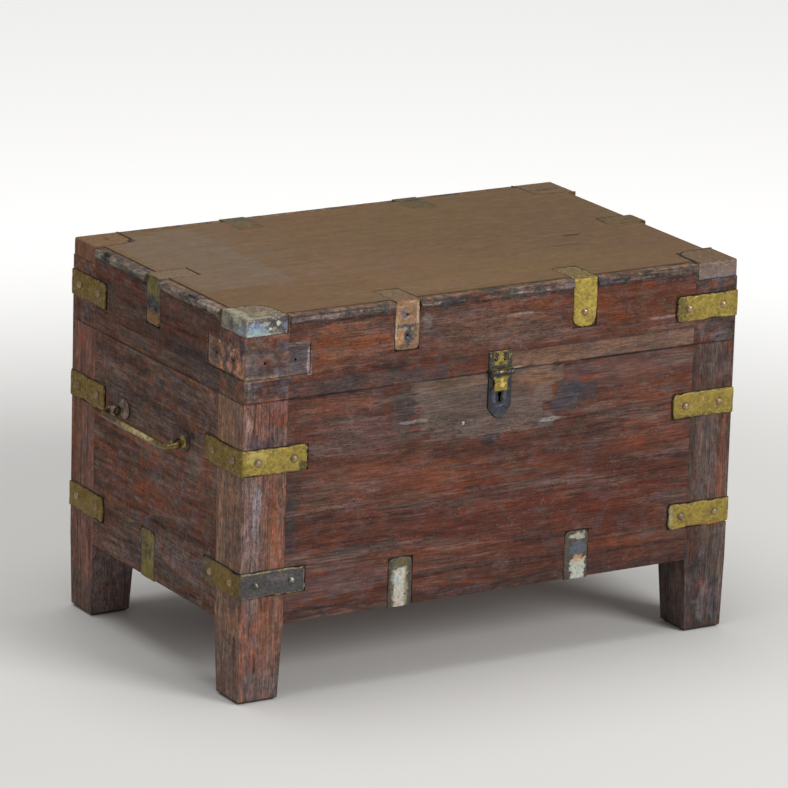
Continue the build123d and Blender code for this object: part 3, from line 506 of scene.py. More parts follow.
def wood(name, grain, base, amounts, laid, seed, light=1.0, rub=0.0, grey=None, crisp=1.0, mottle=0.3,
         blots=None, soil_and_shade=0.55, contrast=0.45, weathered_and_lit=1.0):
    """Old hardwood with its grain along an axis. Amounts are of dark, orange and grey streaks."""
    settings = bpy.context.scene.chest_wood
    material, tree, shader, place = start_material(name)
    parts = tree.parts(place)
    first, second, third = (parts[index] for index in GRAIN_ORDER[grain])
    along = tree.add("CombineXYZ", {"X": first, "Y": second, "Z": third}).outputs[0]
    size = 1.0 / settings.grain_size
    along = tree.stretch(along, (size, size, size), (seed, seed * 0.37, seed * 0.61))
    lines = tree.group(grain_effect(), {"Vector": along})
    dark, warm, bleached = amounts
    darkest = tinted(settings.dark, light)
    orange = tinted(settings.orange, light)
    grey = tinted(grey or settings.grey, light)
    pale = tinted(settings.pale, light)
    purple, green = (tinted(blot, light) for blot in blots or (settings.grub, settings.moss))

    # Streaks of the grain, then the marks over them.
    warmth = tree.times(tree.remap(lines["Zone"], 0.47, 0.6), tree.remap(lines["Streak"], 0.34, 0.56))
    shade = tree.lay(warmth, warm, tinted(base, light), orange)
    shade = tree.lay(tree.remap(lines["Streak"], 0.52, 0.64), dark, shade, darkest)
    ragging = tree.stretch(along, (30.0, 130.0, 130.0))
    shade = add_marks(tree, place, ragging, shade, laid)

    # Bare wood on the faces that look inwards or down, weathered on the legs, and lightened there by a factor
    # that paints light onto a shaded leg.
    outward = tree.vector("MULTIPLY", place, (1.0, 1.0, 0.0))
    normal = tree.add("TexCoord").outputs["Normal"]
    facing = tree.vector("DOT_PRODUCT", normal, outward, result="Value")
    downward = tree.remap(tree.parts(normal)["Z"], -0.5, -0.9)
    inner = tree.math("MAXIMUM", tree.remap(facing, -0.02, -0.06), downward)
    under = tree.remap(parts[2], LEG_TOP, LEG_TOP - 4 * MM)
    bare = tree.blend(under, settings.inside, tinted(settings.weathered_and_lit, weathered_and_lit))
    shade = tree.lay(inner, 0.72, shade, bare)

    # Age: a bleached wash, dark threads, blots, and the unevenness of the fibres.
    shade = tree.lay(lines["Wash"], bleached, shade, grey)
    shade = tree.lay(tree.remap(lines["Thread"], 0.56, 0.68), 0.8 * dark, shade, darkest)
    aged = tree.group(mottle_effect(), {"Vector": place})
    shade = tree.lay(aged["Warm"], mottle * 0.7, shade, orange)
    greyed = tree.times(aged["Grey"], mottle)
    shade = tree.blend(greyed, shade, tree.blend(aged["Hue"], purple, green))
    fibre = tree.remap(lines["Fibre"], 0.3, 0.7, 1.0 - 0.36 * crisp, 1.0 + 0.36 * crisp)
    spots = tree.math("MULTIPLY_ADD", aged["Light"], 1.1 * mottle, 1.0 - 0.55 * mottle)
    fibre = tree.times(fibre, spots)
    patches = tree.math("MULTIPLY_ADD", lines["Patch"], contrast, 1.0 - contrast / 2)
    shade = tree.dim(shade, tree.times(fibre, patches))
    shade = tree.lay(lines["Pores"], 0.6 * crisp, shade, darkest)
    shade = tree.lay(lines["Scratches"], 0.28 * crisp, shade, pale)
    shade = tree.lay(aged["Flecks"], 0.6 * mottle, shade, pale)

    # Wear and dirt along the edges and on the rubbed outer corners, painted shade in the seam, and dirt with
    # painted shade against the metal.
    edges = tree.group(edge_effect(), {"Radius": WOOD_EDGE})
    chipped = tree.remap(tree.speckle(place, 70.0, 4.0, 0.7), 0.3, 0.6, 0.35, 0.95)
    worn = tree.times(edges["Mask"], chipped)
    shade = tree.lay(worn, soil_and_shade, shade, settings.grime_and_shade)
    if rub:
        sides = tree.parts(tree.vector("ABSOLUTE", place))
        outer_x = tree.math("GREATER_THAN", sides[0], RIGHT - RUBBED)
        outer_y = tree.math("GREATER_THAN", sides[1], BACK - RUBBED)
        shade = tree.lay(tree.times(tree.times(outer_x, outer_y), worn), rub, shade, pale)
    # Painted shade: a broken dark line along the lid's seam.
    from_seam = tree.math("ABSOLUTE", tree.math("SUBTRACT", parts[2], SEAM))
    broken = tree.remap(tree.speckle(place, 11.0, 4.0, 0.7), 0.4, 0.6, 0.12, 0.9)
    shade = tree.lay(tree.remap(from_seam, *SEAM_SHADE), broken, shade, settings.grime_and_shade)
    shade_and_dirt = tree.group(crevice_effect(), {"Vector": place, "Distance": WOOD_SHADE_AND_DIRT})["Mask"]
    shade = tree.lay(shade_and_dirt, soil_and_shade, shade, settings.grime_and_shade)

    smooth = max(0.0, 1.0 - crisp)
    roughness = tree.remap(lines["Streak"], 0.3, 0.7, 0.5 + 0.3 * smooth, 0.75 + 0.15 * smooth)
    shader.inputs["Specular IOR Level"].default_value = 0.25
    finish(tree, shader, shade, roughness, lines["Relief"], 0.9 * MM * (1.0 - 0.75 * smooth), edges)
    return material


def metal(name, base, tarnished, amount, laid, metallic=0.6, specks=0.25, depth=0.8 * MM,
          roughness=(0.4, 0.62)):
    """Hammered, tarnished sheet or cast metal."""
    material, tree, shader, place = start_material(name)
    worked = tree.group(hammer_effect(), {"Vector": place})
    shade = tree.lay(worked["Tarnish"], amount, base, tarnished)
    shade = add_marks(tree, place, tree.stretch(place, (130.0, 130.0, 130.0)), shade, laid)
    shade = tree.lay(worked["Specks"], specks, shade, tinted(tarnished, 0.6))
    shade = tree.lay(worked["Bright"], 0.3, shade, tinted(base, 1.7))
    # Painted shade in the hollows of the dents and painted highlights on their ridges.
    shade = tree.dim(shade, tree.remap(worked["Dents"], 0.0, 1.0, 0.87, 1.12))

    # The rim is pitted bright, then dark, and dirt with painted shade gathers against whatever stands over
    # the metal.
    rim = tree.add("Attribute", attribute_name="rim").outputs["Fac"]
    ragged = tree.math("MULTIPLY_ADD", tree.speckle(place, 170.0, 5.0, 0.72), 3.0, -1.5)
    rim = tree.math("ADD", rim, ragged)
    pitted = tree.times(tree.remap(rim, 0.0, 0.45), worked["Bright"])
    shade = tree.lay(pitted, 0.6, shade, tinted(base, 1.9))
    rim = tree.remap(rim, 0.4, 1.05)
    shade = tree.lay(rim, 0.7, shade, tinted(tarnished, 0.33))
    edges = tree.group(edge_effect(), {"Radius": METAL_EDGE})
    shade_and_dirt = tree.group(crevice_effect(), {"Vector": place, "Distance": METAL_SHADE_AND_DIRT})["Mask"]
    shade = tree.lay(shade_and_dirt, 0.5, shade, bpy.context.scene.chest_wood.grime_and_shade)

    # What lies flush in the top is dull, like the wood round it.
    flush = tree.remap(tree.parts(place)["Z"], TOP - 1.8 * MM, TOP - 0.9 * MM)
    clean = tree.math("SUBTRACT", 1.0, tree.math("MAXIMUM", tree.math("MAXIMUM", shade_and_dirt, rim), flush))
    tree.feed(shader.inputs["Metallic"], tree.times(clean, metallic))
    rough = tree.remap(worked["Tarnish"], 0.0, 1.0, *roughness)
    rough = tree.math("MAXIMUM", rough, tree.times(flush, 0.78))
    tree.feed(shader.inputs["Specular IOR Level"], tree.remap(flush, 0.0, 1.0, 0.5, 0.2))
    finish(tree, shader, shade, rough, worked["Relief"], depth, edges)
    return material


# ---------------------------------------------------------------- pieces

def give(material, *nodes):
    """Give a material to nodes of the frame."""
    for name in nodes:
        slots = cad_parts[name].data.materials
        slots.clear()
        slots.append(material)


def piece(name, shape, material, body, nodes, rims=None):
    """A new smooth piece in place of nodes of the frame, with how near each point is to its rim."""
    mesh = bpy.data.meshes.new(name)
    mesh.from_pydata(shape[0], [], shape[1])
    if rims:
        mesh.attributes.new("rim", "FLOAT", "POINT").data.foreach_set("value", rims)
    welded = bmesh.new()
    welded.from_mesh(mesh)
    bmesh.ops.remove_doubles(welded, verts=welded.verts, dist=WELD)
    loose = [vertex for vertex in welded.verts if not vertex.link_faces]
    bmesh.ops.delete(welded, geom=loose, context="VERTS")
    bmesh.ops.recalc_face_normals(welded, faces=welded.faces)
    welded.to_mesh(mesh)
    welded.free()
    for polygon in mesh.polygons:
        polygon.use_smooth = True
    made = bpy.data.objects.new(name, mesh)
    bpy.context.scene.collection.objects.link(made)
    mesh.materials.append(material)
    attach(made, body)
    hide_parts(*nodes)
    return made


def solids(node):
    """The lowest and highest corners of each solid of a node, from left to right and front to back."""
    shape = bmesh.new()
    shape.from_mesh(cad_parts[node].data)
    bmesh.ops.remove_doubles(shape, verts=shape.verts, dist=WELD)
    boxes = []
    left = set(shape.verts)
    while left:
        reached = [left.pop()]
        for vertex in reached:
            for edge in vertex.link_edges:
                other = edge.other_vert(vertex)
                if other in left:
                    left.remove(other)
                    reached.append(other)
        spans = [[vertex.co[axis] for vertex in reached] for axis in range(3)]
        boxes.append((Vector([min(span) for span in spans]), Vector([max(span) for span in spans])))
    shape.free()
    return sorted(boxes, key=lambda box: (round(box[0].x, 4), round(box[0].y, 4)))


def outermost(low, high):
    """A box's corner that is furthest from the chest's middle, seen from above, and the nearest one."""
    outer, inner = low.copy(), high.copy()
    for axis in (0, 1):
        if low[axis] + high[axis] > 0:
            outer[axis], inner[axis] = high[axis], low[axis]
    return outer, inner


def bent_route(start, corner, end, radius):
    """Points along an angle bent over an outer corner, with their outward way, heading and distance."""
    first = (corner - start).normalized()
    second = (end - corner).normalized()
    centre = corner + (second - first) * radius
    route = []
    count = max(2, round(((corner - start).length - radius) / STEP))
    for index in range(count):
        route.append((start.lerp(corner - first * radius, index / count), -second, first))
    arc = max(4, round(radius * math.pi / 2 / STEP) * 2)
    for index in range(arc):
        turn = index / arc * math.pi / 2
        out = first * math.sin(turn) - second * math.cos(turn)
        heading = first * math.cos(turn) + second * math.sin(turn)
        route.append((centre + out * radius, out, heading))
    count = max(2, round(((end - corner).length - radius) / STEP))
    for index in range(count + 1):
        route.append(((corner + second * radius).lerp(end, index / count), first, second))
    travelled = 0.0
    measured = []
    for index, (place, out, heading) in enumerate(route):
        if index:
            travelled += (place - route[index - 1][0]).length
        measured.append((place, out, heading, travelled))
    return measured


def closed_sheet(outer, inner):
    """The points and faces of a plate between an outer and an inner grid of points."""
    rows, columns = len(outer), len(outer[0])
    points = [point for grid in (outer, inner) for row in grid for point in row]

    def at(layer, row, column):
        return (layer * rows + row) * columns + column

    faces = []
    for row in range(rows - 1):
        for column in range(columns - 1):
            for layer in (0, 1):
                faces.append((at(layer, row, column), at(layer, row, column + 1),
                              at(layer, row + 1, column + 1), at(layer, row + 1, column)))
    rims = [((row, column), (row + 1, column)) for row in range(rows - 1) for column in (0, columns - 1)]
    rims += [((row, column), (row, column + 1)) for column in range(columns - 1) for row in (0, rows - 1)]
    for here, there in rims:
        faces.append((at(0, *here), at(0, *there), at(1, *there), at(1, *here)))
    return points, faces


def punched(points, faces, rows, spots):
    """A closed sheet with a nail's hole through it at each spot of its middle line."""
    columns = len(ACROSS)
    middle = columns // 2
    for spot in spots:

        def away(row):
            return (points[row * columns + middle] - spot).length

        row = min(range(2, rows - 2), key=away)
        gone, loops = [], []
        for layer in (0, rows * columns):
            centre = layer + row * columns + middle
            around = (-columns - 1, -columns, -columns + 1, 1, columns + 1, columns, columns - 1, -1)
            loop = [centre + step for step in around]
            level = points[centre].copy()
            ahead = (points[centre + columns] - points[centre - columns]).normalized()
            level += ahead * ahead.dot(spot - level)
            across = (points[centre + 1] - points[centre - 1]).normalized()
            for index in loop:
                way = points[index] - level
                way = ahead * way.dot(ahead) + across * way.dot(across)
                points[index] = level + way.normalized() * NAIL_HOLE
            gone.append(centre)
            loops.append(loop)
        faces = [face for face in faces if not set(face) & set(gone)]
        outer, inner = loops
        for step in range(8):
            follow = (step + 1) % 8
            faces.append((outer[step], outer[follow], inner[follow], inner[step]))
    return points, faces


def strap(route, width, thickness, seed, rounds=STRAP_ROUNDS, ragged=1.0, inward=False, holes=()):
    """A hand-cut, hammered strap along a route: its shape, and how near each point is to the rim."""
    settings = bpy.context.scene.chest_metal
    total = route[-1][3]
    outer, inner, rims = [], [], []
    for place, out, heading, along in route:
        side = out.cross(heading)
        room = min(along, total - along)
        inset = 0.0
        corner_round = rounds[0] if along < total / 2 else rounds[1]
        if room < corner_round:
            inset = corner_round - math.sqrt(corner_round**2 - (corner_round - room) ** 2)
        end = math.copysign(1.0, along - total / 2) * max(0.0, 1.0 - room / STRAP_END)
        outer_row, inner_row = [], []
        for across in ACROSS:
            turn = Vector((along * 38, math.copysign(7.3, across), seed * 3.1))
            wander = 1.3 * noise.noise(turn) + 0.8 * noise.noise(turn * 2.9) - 0.3
            half = width / 2 - inset + min(settings.wander * ragged * wander, 0.0)
            spot = place + side * (across * half)
            jag = Vector((across * 2.3, seed * 1.7, 4.0 * end))
            spot += heading * (end * settings.wander * ragged * min(0.0, noise.noise(jag * 1.3) - 0.4) * 1.6)
            edge = min((1 - abs(across)) * max(half, 0.0), room)
            drop = settings.rounding * 0.6 * max(0.0, 1 - edge / settings.rounding) ** 2
            dent = settings.hammering * (noise.noise(spot * 90) + 0.6 * noise.noise(spot * 230))
            lift = -abs(dent) if inward else dent
            outer_row.append(spot + out * (lift - drop))
            inner_row.append(spot - out * thickness)
            rims.append(max(0.0, 1.0 - edge / STRAP_RIM))
        outer.append(outer_row)
        inner.append(inner_row)
    shape = punched(*closed_sheet(outer, inner), len(outer), holes)
    return shape, rims + [1.0] * len(rims)


def corner_strap(node, seed, material, body):
    """A strap wrapped round a corner post."""
    low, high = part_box(node)
    outer, inner = outermost(low, high)
    outer.z = (low.z + high.z) / 2
    start = Vector((inner.x, outer.y, outer.z))
    end = Vector((outer.x, inner.y, outer.z))
    route = bent_route(start, outer, end, STRAP_BEND)
    shape, rims = strap(route, high.z - low.z, STRAP_SHEET, seed)
    piece("hammered_" + node, shape, material, body, [node], rims)


def ring(place, first, second, radius, around):
    """Points of a circle about a place, in the plane of two directions."""
    turns = [step / around * math.tau for step in range(around)]
    return [place + (first * math.cos(turn) + second * math.sin(turn)) * radius for turn in turns]


def skin(rings, looped=False):
    """The points and faces over rings of points, with flat ends or with the last ring joined to the first."""
    around = len(rings[0])
    points = [point for section in rings for point in section]
    faces = []
    for index in range(len(rings) if looped else len(rings) - 1):
        low, high = index * around, (index + 1) % len(rings) * around
        for step in range(around):
            follow = (step + 1) % around
            faces.append((low + step, low + follow, high + follow, high + step))
    if not looped:
        faces.append(tuple(range(around)))
        faces.append(tuple((len(rings) - 1) * around + step for step in range(around)))
    return points, faces


def turned(profile, place, axis, looped=False):
    """A shape turned about an axis: its profile is given as distance along and radius, in millimetres."""
    axis = Vector(axis).normalized()
    across = axis.orthogonal().normalized()
    other = axis.cross(across)
    rings = [ring(place + axis * (along * MM), across, other, radius * MM, 40) for along, radius in profile]
    return skin(rings, looped)


def rod(path, radii):
    """A round rod along a path, with a radius at each of its points."""
    rings = []
    flat = (path[1] - path[0]).orthogonal().normalized()
    for index, place in enumerate(path):
        ahead = path[min(index + 1, len(path) - 1)] - path[max(index - 1, 0)]
        ahead.normalize()
        flat = (flat - ahead * flat.dot(ahead)).normalized()
        rings.append(ring(place, flat, ahead.cross(flat), radii[index], 16))
    return skin(rings)


def joined(*shapes):
    """Several shapes' points and faces as one."""
    points, faces = [], []
    for shape_points, shape_faces in shapes:
        base = len(points)
        points += shape_points
        faces += [tuple(base + index for index in face) for face in shape_faces]
    return points, faces


def rounded_path(corners, radii, step):
    """Points along a line of corners, each of which is rounded."""
    path = [corners[0]]
    for before, corner, after, radius in zip(corners, corners[1:], corners[2:], radii):
        back, ahead = (before - corner).normalized(), (after - corner).normalized()
        half = back.angle(ahead) / 2
        reach = radius / math.tan(half)
        centre = corner + (back + ahead).normalized() * (radius / math.sin(half))
        first, last = corner + back * reach, corner + ahead * reach
        count = round((first - path[-1]).length / step)
        path += [path[-1].lerp(first, part / count) for part in range(1, count)]
        count = max(4, round(radius * (math.pi - 2 * half) / step))
        for part in range(count + 1):
            turn = (first - centre).normalized().slerp((last - centre).normalized(), part / count)
            path.append(centre + turn * radius)
    count = max(1, round((corners[-1] - path[-1]).length / step))
    path += [path[-1].lerp(corners[-1], part / count) for part in range(1, count + 1)]
    return path


# ---------------------------------------------------------------- operators

class CHEST_OT_stage(bpy.types.Operator):
    """Lay the floor, hang the lamps and set up the camera"""

    bl_idname = "chest.stage"
    bl_label = "Stage"

    WHITENING = (0.75, 2.2)

    def execute(self, context):
        settings = context.scene.chest_stage
        bpy.ops.mesh.primitive_circle_add(vertices=96, radius=settings.floor_radius, fill_type="NGON")
        floor = context.object
        floor.name = "floor"
        floor.data.materials.append(self.floor(settings))
        self.lamps(context, settings)
        self.sky(context, settings)
        self.camera(context, settings)
        return {"FINISHED"}

    def floor(self, settings):
        """A pale floor that keeps the shadow near the chest and runs out into white."""
        material, tree, shader, place = start_material("Floor")
        mottle = tree.speckle(place, 3.0, 3.0, 0.5)
        tree.feed(shader.inputs["Roughness"], tree.remap(mottle, 0.3, 0.7, 0.75, 0.9))
        tree.feed(shader.inputs["Base Color"], settings.floor)
        shader.inputs["Specular IOR Level"].default_value = 0.2
        away = tree.remap(tree.vector("LENGTH", place, result="Value"), *self.WHITENING)
        seen = tree.add("LightPath").outputs["Is Camera Ray"]
        shader.inputs["Emission Color"].default_value = (1.0, 1.0, 1.0, 1.0)
        tree.feed(shader.inputs["Emission Strength"], tree.times(tree.times(away, seen), 0.5))
        return material

    def lamps(self, context, settings):
        """Two large soft lamps."""
        for name, place, size, power in (
            ("Key", (1.9, -4.6, 2.6), 2.6, settings.key),
            ("Above", (-0.3, 0.2, 3.6), 3.0, settings.above),
        ):
            data = bpy.data.lights.new(name, "AREA")
            data.shape = "DISK"
            data.size = size
            data.energy = power
            lamp = bpy.data.objects.new(name, data)
            context.scene.collection.objects.link(lamp)
            lamp.location = place
            aim = Vector((0, 0, 0.3)) - Vector(place)
            lamp.rotation_euler = aim.to_track_quat("-Z", "Y").to_euler()

    def sky(self, context, settings):
        """Even light from all round, seen as white."""
        world = bpy.data.worlds.new("Studio")
        context.scene.world = world
        world.use_nodes = True
        tree = Tree(world.node_tree)
        background = world.node_tree.nodes["Background"]
        path = tree.add("LightPath").outputs
        seen = tree.math("MAXIMUM", path["Is Camera Ray"], path["Is Transmission Ray"])
        seen = tree.math("MAXIMUM", seen, tree.times(path["Is Glossy Ray"], 0.4))
        strength = tree.math("MAXIMUM", seen, settings.fill)
        background.inputs["Color"].default_value = (1.0, 1.0, 1.0, 1.0)
        tree.feed(background.inputs["Strength"], strength)

    def camera(self, context, settings):
        """The camera, turned and rolled to its view."""
        scene = context.scene
        scene.view_settings.view_transform = "Standard"
        turn, rise, roll = settings.azimuth, settings.elevation, settings.roll
        back = Vector((math.sin(turn) * math.cos(rise), -math.cos(turn) * math.cos(rise), math.sin(rise)))
        right = Vector((0, 0, 1)).cross(back).normalized()
        up = back.cross(right)
        right, up = (
            right * math.cos(roll) + up * math.sin(roll),
            up * math.cos(roll) - right * math.sin(roll),
        )
        data = bpy.data.cameras.new("Camera")
        data.sensor_width = 36.0
        data.lens = settings.lens
        data.clip_end = 100.0
        camera = bpy.data.objects.new("Camera", data)
        scene.collection.objects.link(camera)
        place = Vector(settings.aim) + back * settings.distance
        camera.matrix_world = Matrix.Translation(place) @ Matrix((right, up, back)).transposed().to_4x4()
        scene.camera = camera


# The recess and the nail holes of the strap that is lost at the lid's front left corner.
RECESS = marks(
    "front",
    (-331, 461, 50, 21, (92, 88, 90), 0.75, 4, True),
    (-350, 457, 9, 8, (62, 62, 68), 0.7, 5),
    (-324, 456, 9, 9, (74, 66, 68), 0.6, 5),
    (-302, 458, 10, 14, (62, 60, 66), 0.7, 5),
    (-340, 478, 34, 4, (64, 56, 56), 0.7, 5),
    (-284, 458, 2.6, 19, (170, 160, 156), 0.7, 2, True),
    (-300, 482, 17, 2, (150, 140, 136), 0.6, 2, True),
    (-314.5, 440, 1.2, 34, (142, 130, 124), 0.5, 2, True),
    (-362, 489, 12, 5, (140, 112, 74), 0.6, 5),
    (-346, 441, 33, 2.2, (152, 124, 98), 0.6, 3, True),
    (-347, 424, 34, 12, (68, 54, 58), 0.7, 4, True),
    (-372, 428, 2, 10, (150, 142, 146), 0.6, 2, True),
    (-364, 424, 1.6, 9, (132, 118, 124), 0.5, 2, True),
    "left",
    (-188, 461, 47, 19, (198, 142, 110), 0.85, 4, True),
    (-185, 461, 5, 18, (84, 76, 70), 0.6, 4, True),
    (-158, 461, 15, 18, (92, 80, 70), 0.7, 5),
    (-206, 461, 6, 6, (40, 30, 28), 0.7, 4),
    (-161, 461, 8, 8, (52, 44, 42), 0.7, 5),
    (-150, 478, 16, 5, (72, 64, 58), 0.6, 5),
    (-140, 461, 2.0, 21, (176, 164, 154), 0.6, 2, True),
    (-200, 437, 44, 5, (84, 76, 64), 0.6, 6),
)

POST_FRONT_LEFT = marks(
    "front",
    (-364, 215, 13, 120, (130, 116, 114), 0.6, 8),
    (-358, 265, 5, 45, (146, 138, 144), 0.65, 5),
    (-332, 260, 9, 52, (150, 84, 50), 0.65, 8),
    (-340, 225, 3, 40, (92, 70, 62), 0.6, 4),
    (-325, 330, 6, 24, (140, 88, 62), 0.6, 6),
    (-345, 22, 45, 26, (104, 96, 96), 0.7, 12),
    (-330, 90, 8, 34, (132, 84, 60), 0.5, 8),
    "left",
    (-204, 250, 40, 160, (164, 126, 98), 0.6, 10, True),
    (-204, 40, 40, 50, (138, 122, 112), 0.6, 12),
    (-232, 180, 5, 120, (128, 104, 88), 0.5, 6),
    (-196, 210, 8, 90, (108, 92, 80), 0.5, 8),
    "front",
    (-372, 360, 5, 40, (170, 150, 138), 0.6, 4),
    (-325, 390, 10, 18, (140, 60, 34), 0.7, 6),
    (-345, 354, 26, 10, (60, 58, 66), 0.7, 8),
)

POST_FRONT_RIGHT = marks(
    "front",
    (345, 60, 45, 74, (52, 50, 50), 0.8, 14),
    (350, 385, 40, 18, (60, 48, 48), 0.7, 10),
    (368, 240, 6, 60, (128, 70, 44), 0.6, 6),
    (340, 250, 18, 90, (104, 90, 86), 0.5, 12),
    (350, 40, 14, 30, (102, 98, 104), 0.6, 10),
    "left",
    (-200, 60, 40, 70, (70, 66, 60), 0.6, 12),
)

POST_BACK_LEFT = marks(
    "left",
    (204, 30, 40, 30, (98, 82, 70), 0.6, 12),
    (222, 250, 8, 120, (132, 74, 46), 0.6, 8),
    (205, 385, 12, 20, (150, 70, 46), 0.5, 8),
)

BLOCK_FRONT_RIGHT = marks(
    "front",
    (315.5, 499, 1.3, 24, (24, 20, 22), 0.9, 1, True),
    (350, 425, 30, 14, (70, 58, 58), 0.6, 8),
    (350, 496, 36, 9, (96, 84, 80), 0.7, 6),
)

BLOCK_BACK_LEFT = marks(
    "left",
    (205, 425, 36, 12, (72, 60, 56), 0.7, 8),
    (205, 496, 36, 8, (128, 84, 56), 0.6, 6),
)


class CHEST_OT_posts(bpy.types.Operator):
    """Finish the posts, their legs and the lid's corner blocks"""

    bl_idname = "chest.posts"
    bl_label = "Posts and corner blocks"

    def execute(self, context):
        settings = context.scene.chest_wood
        left, right = settings.post, settings.post_right
        # The last number lightens the legs' inner faces: on the back left post it is painted light where the
        # chest's underside shades them.
        looks = {
            "front_left": (left, (0.7, 0.4, 0.8), 1.0, POST_FRONT_LEFT, RECESS, 1.0),
            "front_right": (right, (0.85, 0.4, 0.8), 0.96, POST_FRONT_RIGHT, BLOCK_FRONT_RIGHT, 1.5),
            "back_left": (left, (0.7, 0.5, 0.6), 1.08, POST_BACK_LEFT, BLOCK_BACK_LEFT, 4.5),
            "back_right": (right, (0.8, 0.5, 0.7), 1.1, (), (), 1.0),
        }
        for index, (corner, (base, amounts, light, on_post, on_block, weathered_and_lit)) in enumerate(looks.items()):
            seed = 1.3 + 2.7 * index
            name = corner.replace("_", " ")
            post = wood("Post, " + name, "z", base, amounts, on_post, seed, light, 0.8, crisp=1.25,
                        mottle=0.45, weathered_and_lit=weathered_and_lit)
            give(post, "post_" + corner)
            block = wood("Block, " + name, "x", base, amounts, on_block, seed + 17.0, light * 0.92, 0.8,
                         crisp=0.6, mottle=0.85)
            give(block, "lid_stub_" + corner)
        return {"FINISHED"}


PATCH = (97, 82, 75)
PANEL_FRONT = marks(
    "front",
    (230, 385, 90, 24, (98, 78, 73), 0.5, 14),
    (180, 212, 84, 44, (86, 34, 16), 0.78, 16),
    (-8, 205, 100, 44, (92, 38, 22), 0.7, 16),
    (255, 300, 60, 30, (114, 56, 36), 0.45, 14),
    (-190, 345, 80, 24, (106, 84, 82), 0.5, 14),
    (-170, 280, 100, 30, (116, 66, 46), 0.5, 16),
    (-235, 390, 60, 14, (122, 70, 54), 0.6, 10),
    (-306, 240, 10, 70, (46, 46, 50), 0.65, 9),
    (0, 112, 320, 9, (40, 30, 32), 0.6, 8),
    (-230, 150, 70, 24, (84, 74, 80), 0.5, 14),
    (-18, 375, 96, 40, PATCH, 0.88, 4, True),
    (84, 397, 24, 13, (120, 92, 72), 0.8, 4, True),
    (76, 374, 16, 16, (104, 86, 78), 0.8, 6, True),
    (-118, 394, 12, 20, PATCH, 0.88, 4, True),
    (-2, 335, 96, 12, PATCH, 0.85, 5, True),
    (-10, 401, 110, 8, (114, 90, 68), 0.6, 5),
    (64, 390, 22, 14, (126, 84, 56), 0.6, 8),
    (-142, 376, 19, 26, (50, 44, 46), 0.8, 8),
    (133, 396, 30, 13, (94, 62, 60), 0.6, 8),
    (118, 373, 20, 11, (60, 58, 64), 0.85, 5, True),
    (134, 364, 26, 13, (60, 58, 63), 0.85, 6, True),
    (108, 351, 20, 10, (64, 60, 64), 0.8, 6, True),
    (98, 406.5, 9, 2.2, (20, 16, 18), 0.95, 2),
    (92, 402, 5, 1.6, (30, 24, 24), 0.9, 1.5),
    (-123, 355, 24, 2.2, (160, 152, 146), 0.7, 3),
    (84, 333, 18, 2.4, (160, 152, 148), 0.7, 3),
    (-2, 318, 15, 8, (34, 32, 38), 0.75, 6),
    (-47, 344, 2.2, 2.2, (206, 200, 194), 0.95, 0.5),
)

PANEL_LEFT = marks(
    "left",
    (16, 388, 110, 20, (100, 76, 62), 0.5, 14),
    (60, 330, 90, 22, (72, 62, 58), 0.6, 14),
    (-60, 390, 70, 16, (112, 92, 82), 0.5, 12),
    (-110, 405, 50, 5, (176, 104, 52), 0.6, 6),
    (0, 240, 100, 40, (118, 72, 50), 0.4, 20),
    (-110, 290, 22, 30, (104, 98, 98), 0.5, 12),
    (-110, 330, 30, 10, (96, 90, 88), 0.5, 10),
    (-40, 150, 110, 30, (104, 94, 94), 0.5, 16),
)


class CHEST_OT_panels(bpy.types.Operator):
    """Finish the four side panels"""

    bl_idname = "chest.panels"
    bl_label = "Panels"

    def execute(self, context):
        red = context.scene.chest_wood.red
        brown = linear(88, 54, 38)
        plain = (0.85, 0.75, 0.7)
        looks = {
            "front": wood("Front panel", "x", red, plain, PANEL_FRONT, 0.0, mottle=0.25),
            "left": wood("Left panel", "y", brown, (0.7, 0.85, 0.75), PANEL_LEFT, 3.3, 1.3, mottle=0.6,
                         contrast=0.75),
            "right": wood("Right panel", "y", red, plain, (), 6.1, mottle=0.35),
            "back": wood("Back panel", "x", red, plain, (), 8.9, mottle=0.35),
        }
        for side, look in looks.items():
            give(look, "panel_" + side)
        return {"FINISHED"}


RAIL_FRONT = marks(
    "front",
    (-230, 474, 78, 26, (130, 72, 40), 0.85, 14),
    (-205, 449, 60, 7, (104, 70, 56), 0.7, 10),
    (62, 494, 60, 8, (122, 68, 38), 0.6, 8),
    (200, 475, 86, 28, (96, 46, 18), 0.85, 14),
    (0, 472, 90, 24, (108, 78, 60), 0.5, 14),
    (165, 422, 175, 11, (118, 88, 70), 0.85, 5, True),
    (-107, 490, 7, 12, (124, 116, 112), 0.6, 5),
    (-190, 420, 118, 9, (70, 60, 60), 0.75, 6, True),
    (60, 434, 260, 1.2, (40, 30, 30), 0.7, 3),
    (267, 453, 20, 2, (160, 140, 130), 0.6, 3),
    (28, 483, 20, 1.8, (156, 140, 134), 0.6, 3),
    (30, 411, 12, 1.4, (190, 170, 150), 0.6, 1.5),
) + RECESS

RAIL_LEFT = marks(
    "left",
    (0, 423, 170, 9, (104, 82, 70), 0.6, 6, True),
    (-110, 440, 50, 14, (60, 54, 56), 0.6, 10),
    (60, 412, 60, 6, (136, 78, 40), 0.6, 7),
    (110, 460, 60, 20, (84, 58, 44), 0.5, 12),
) + RECESS


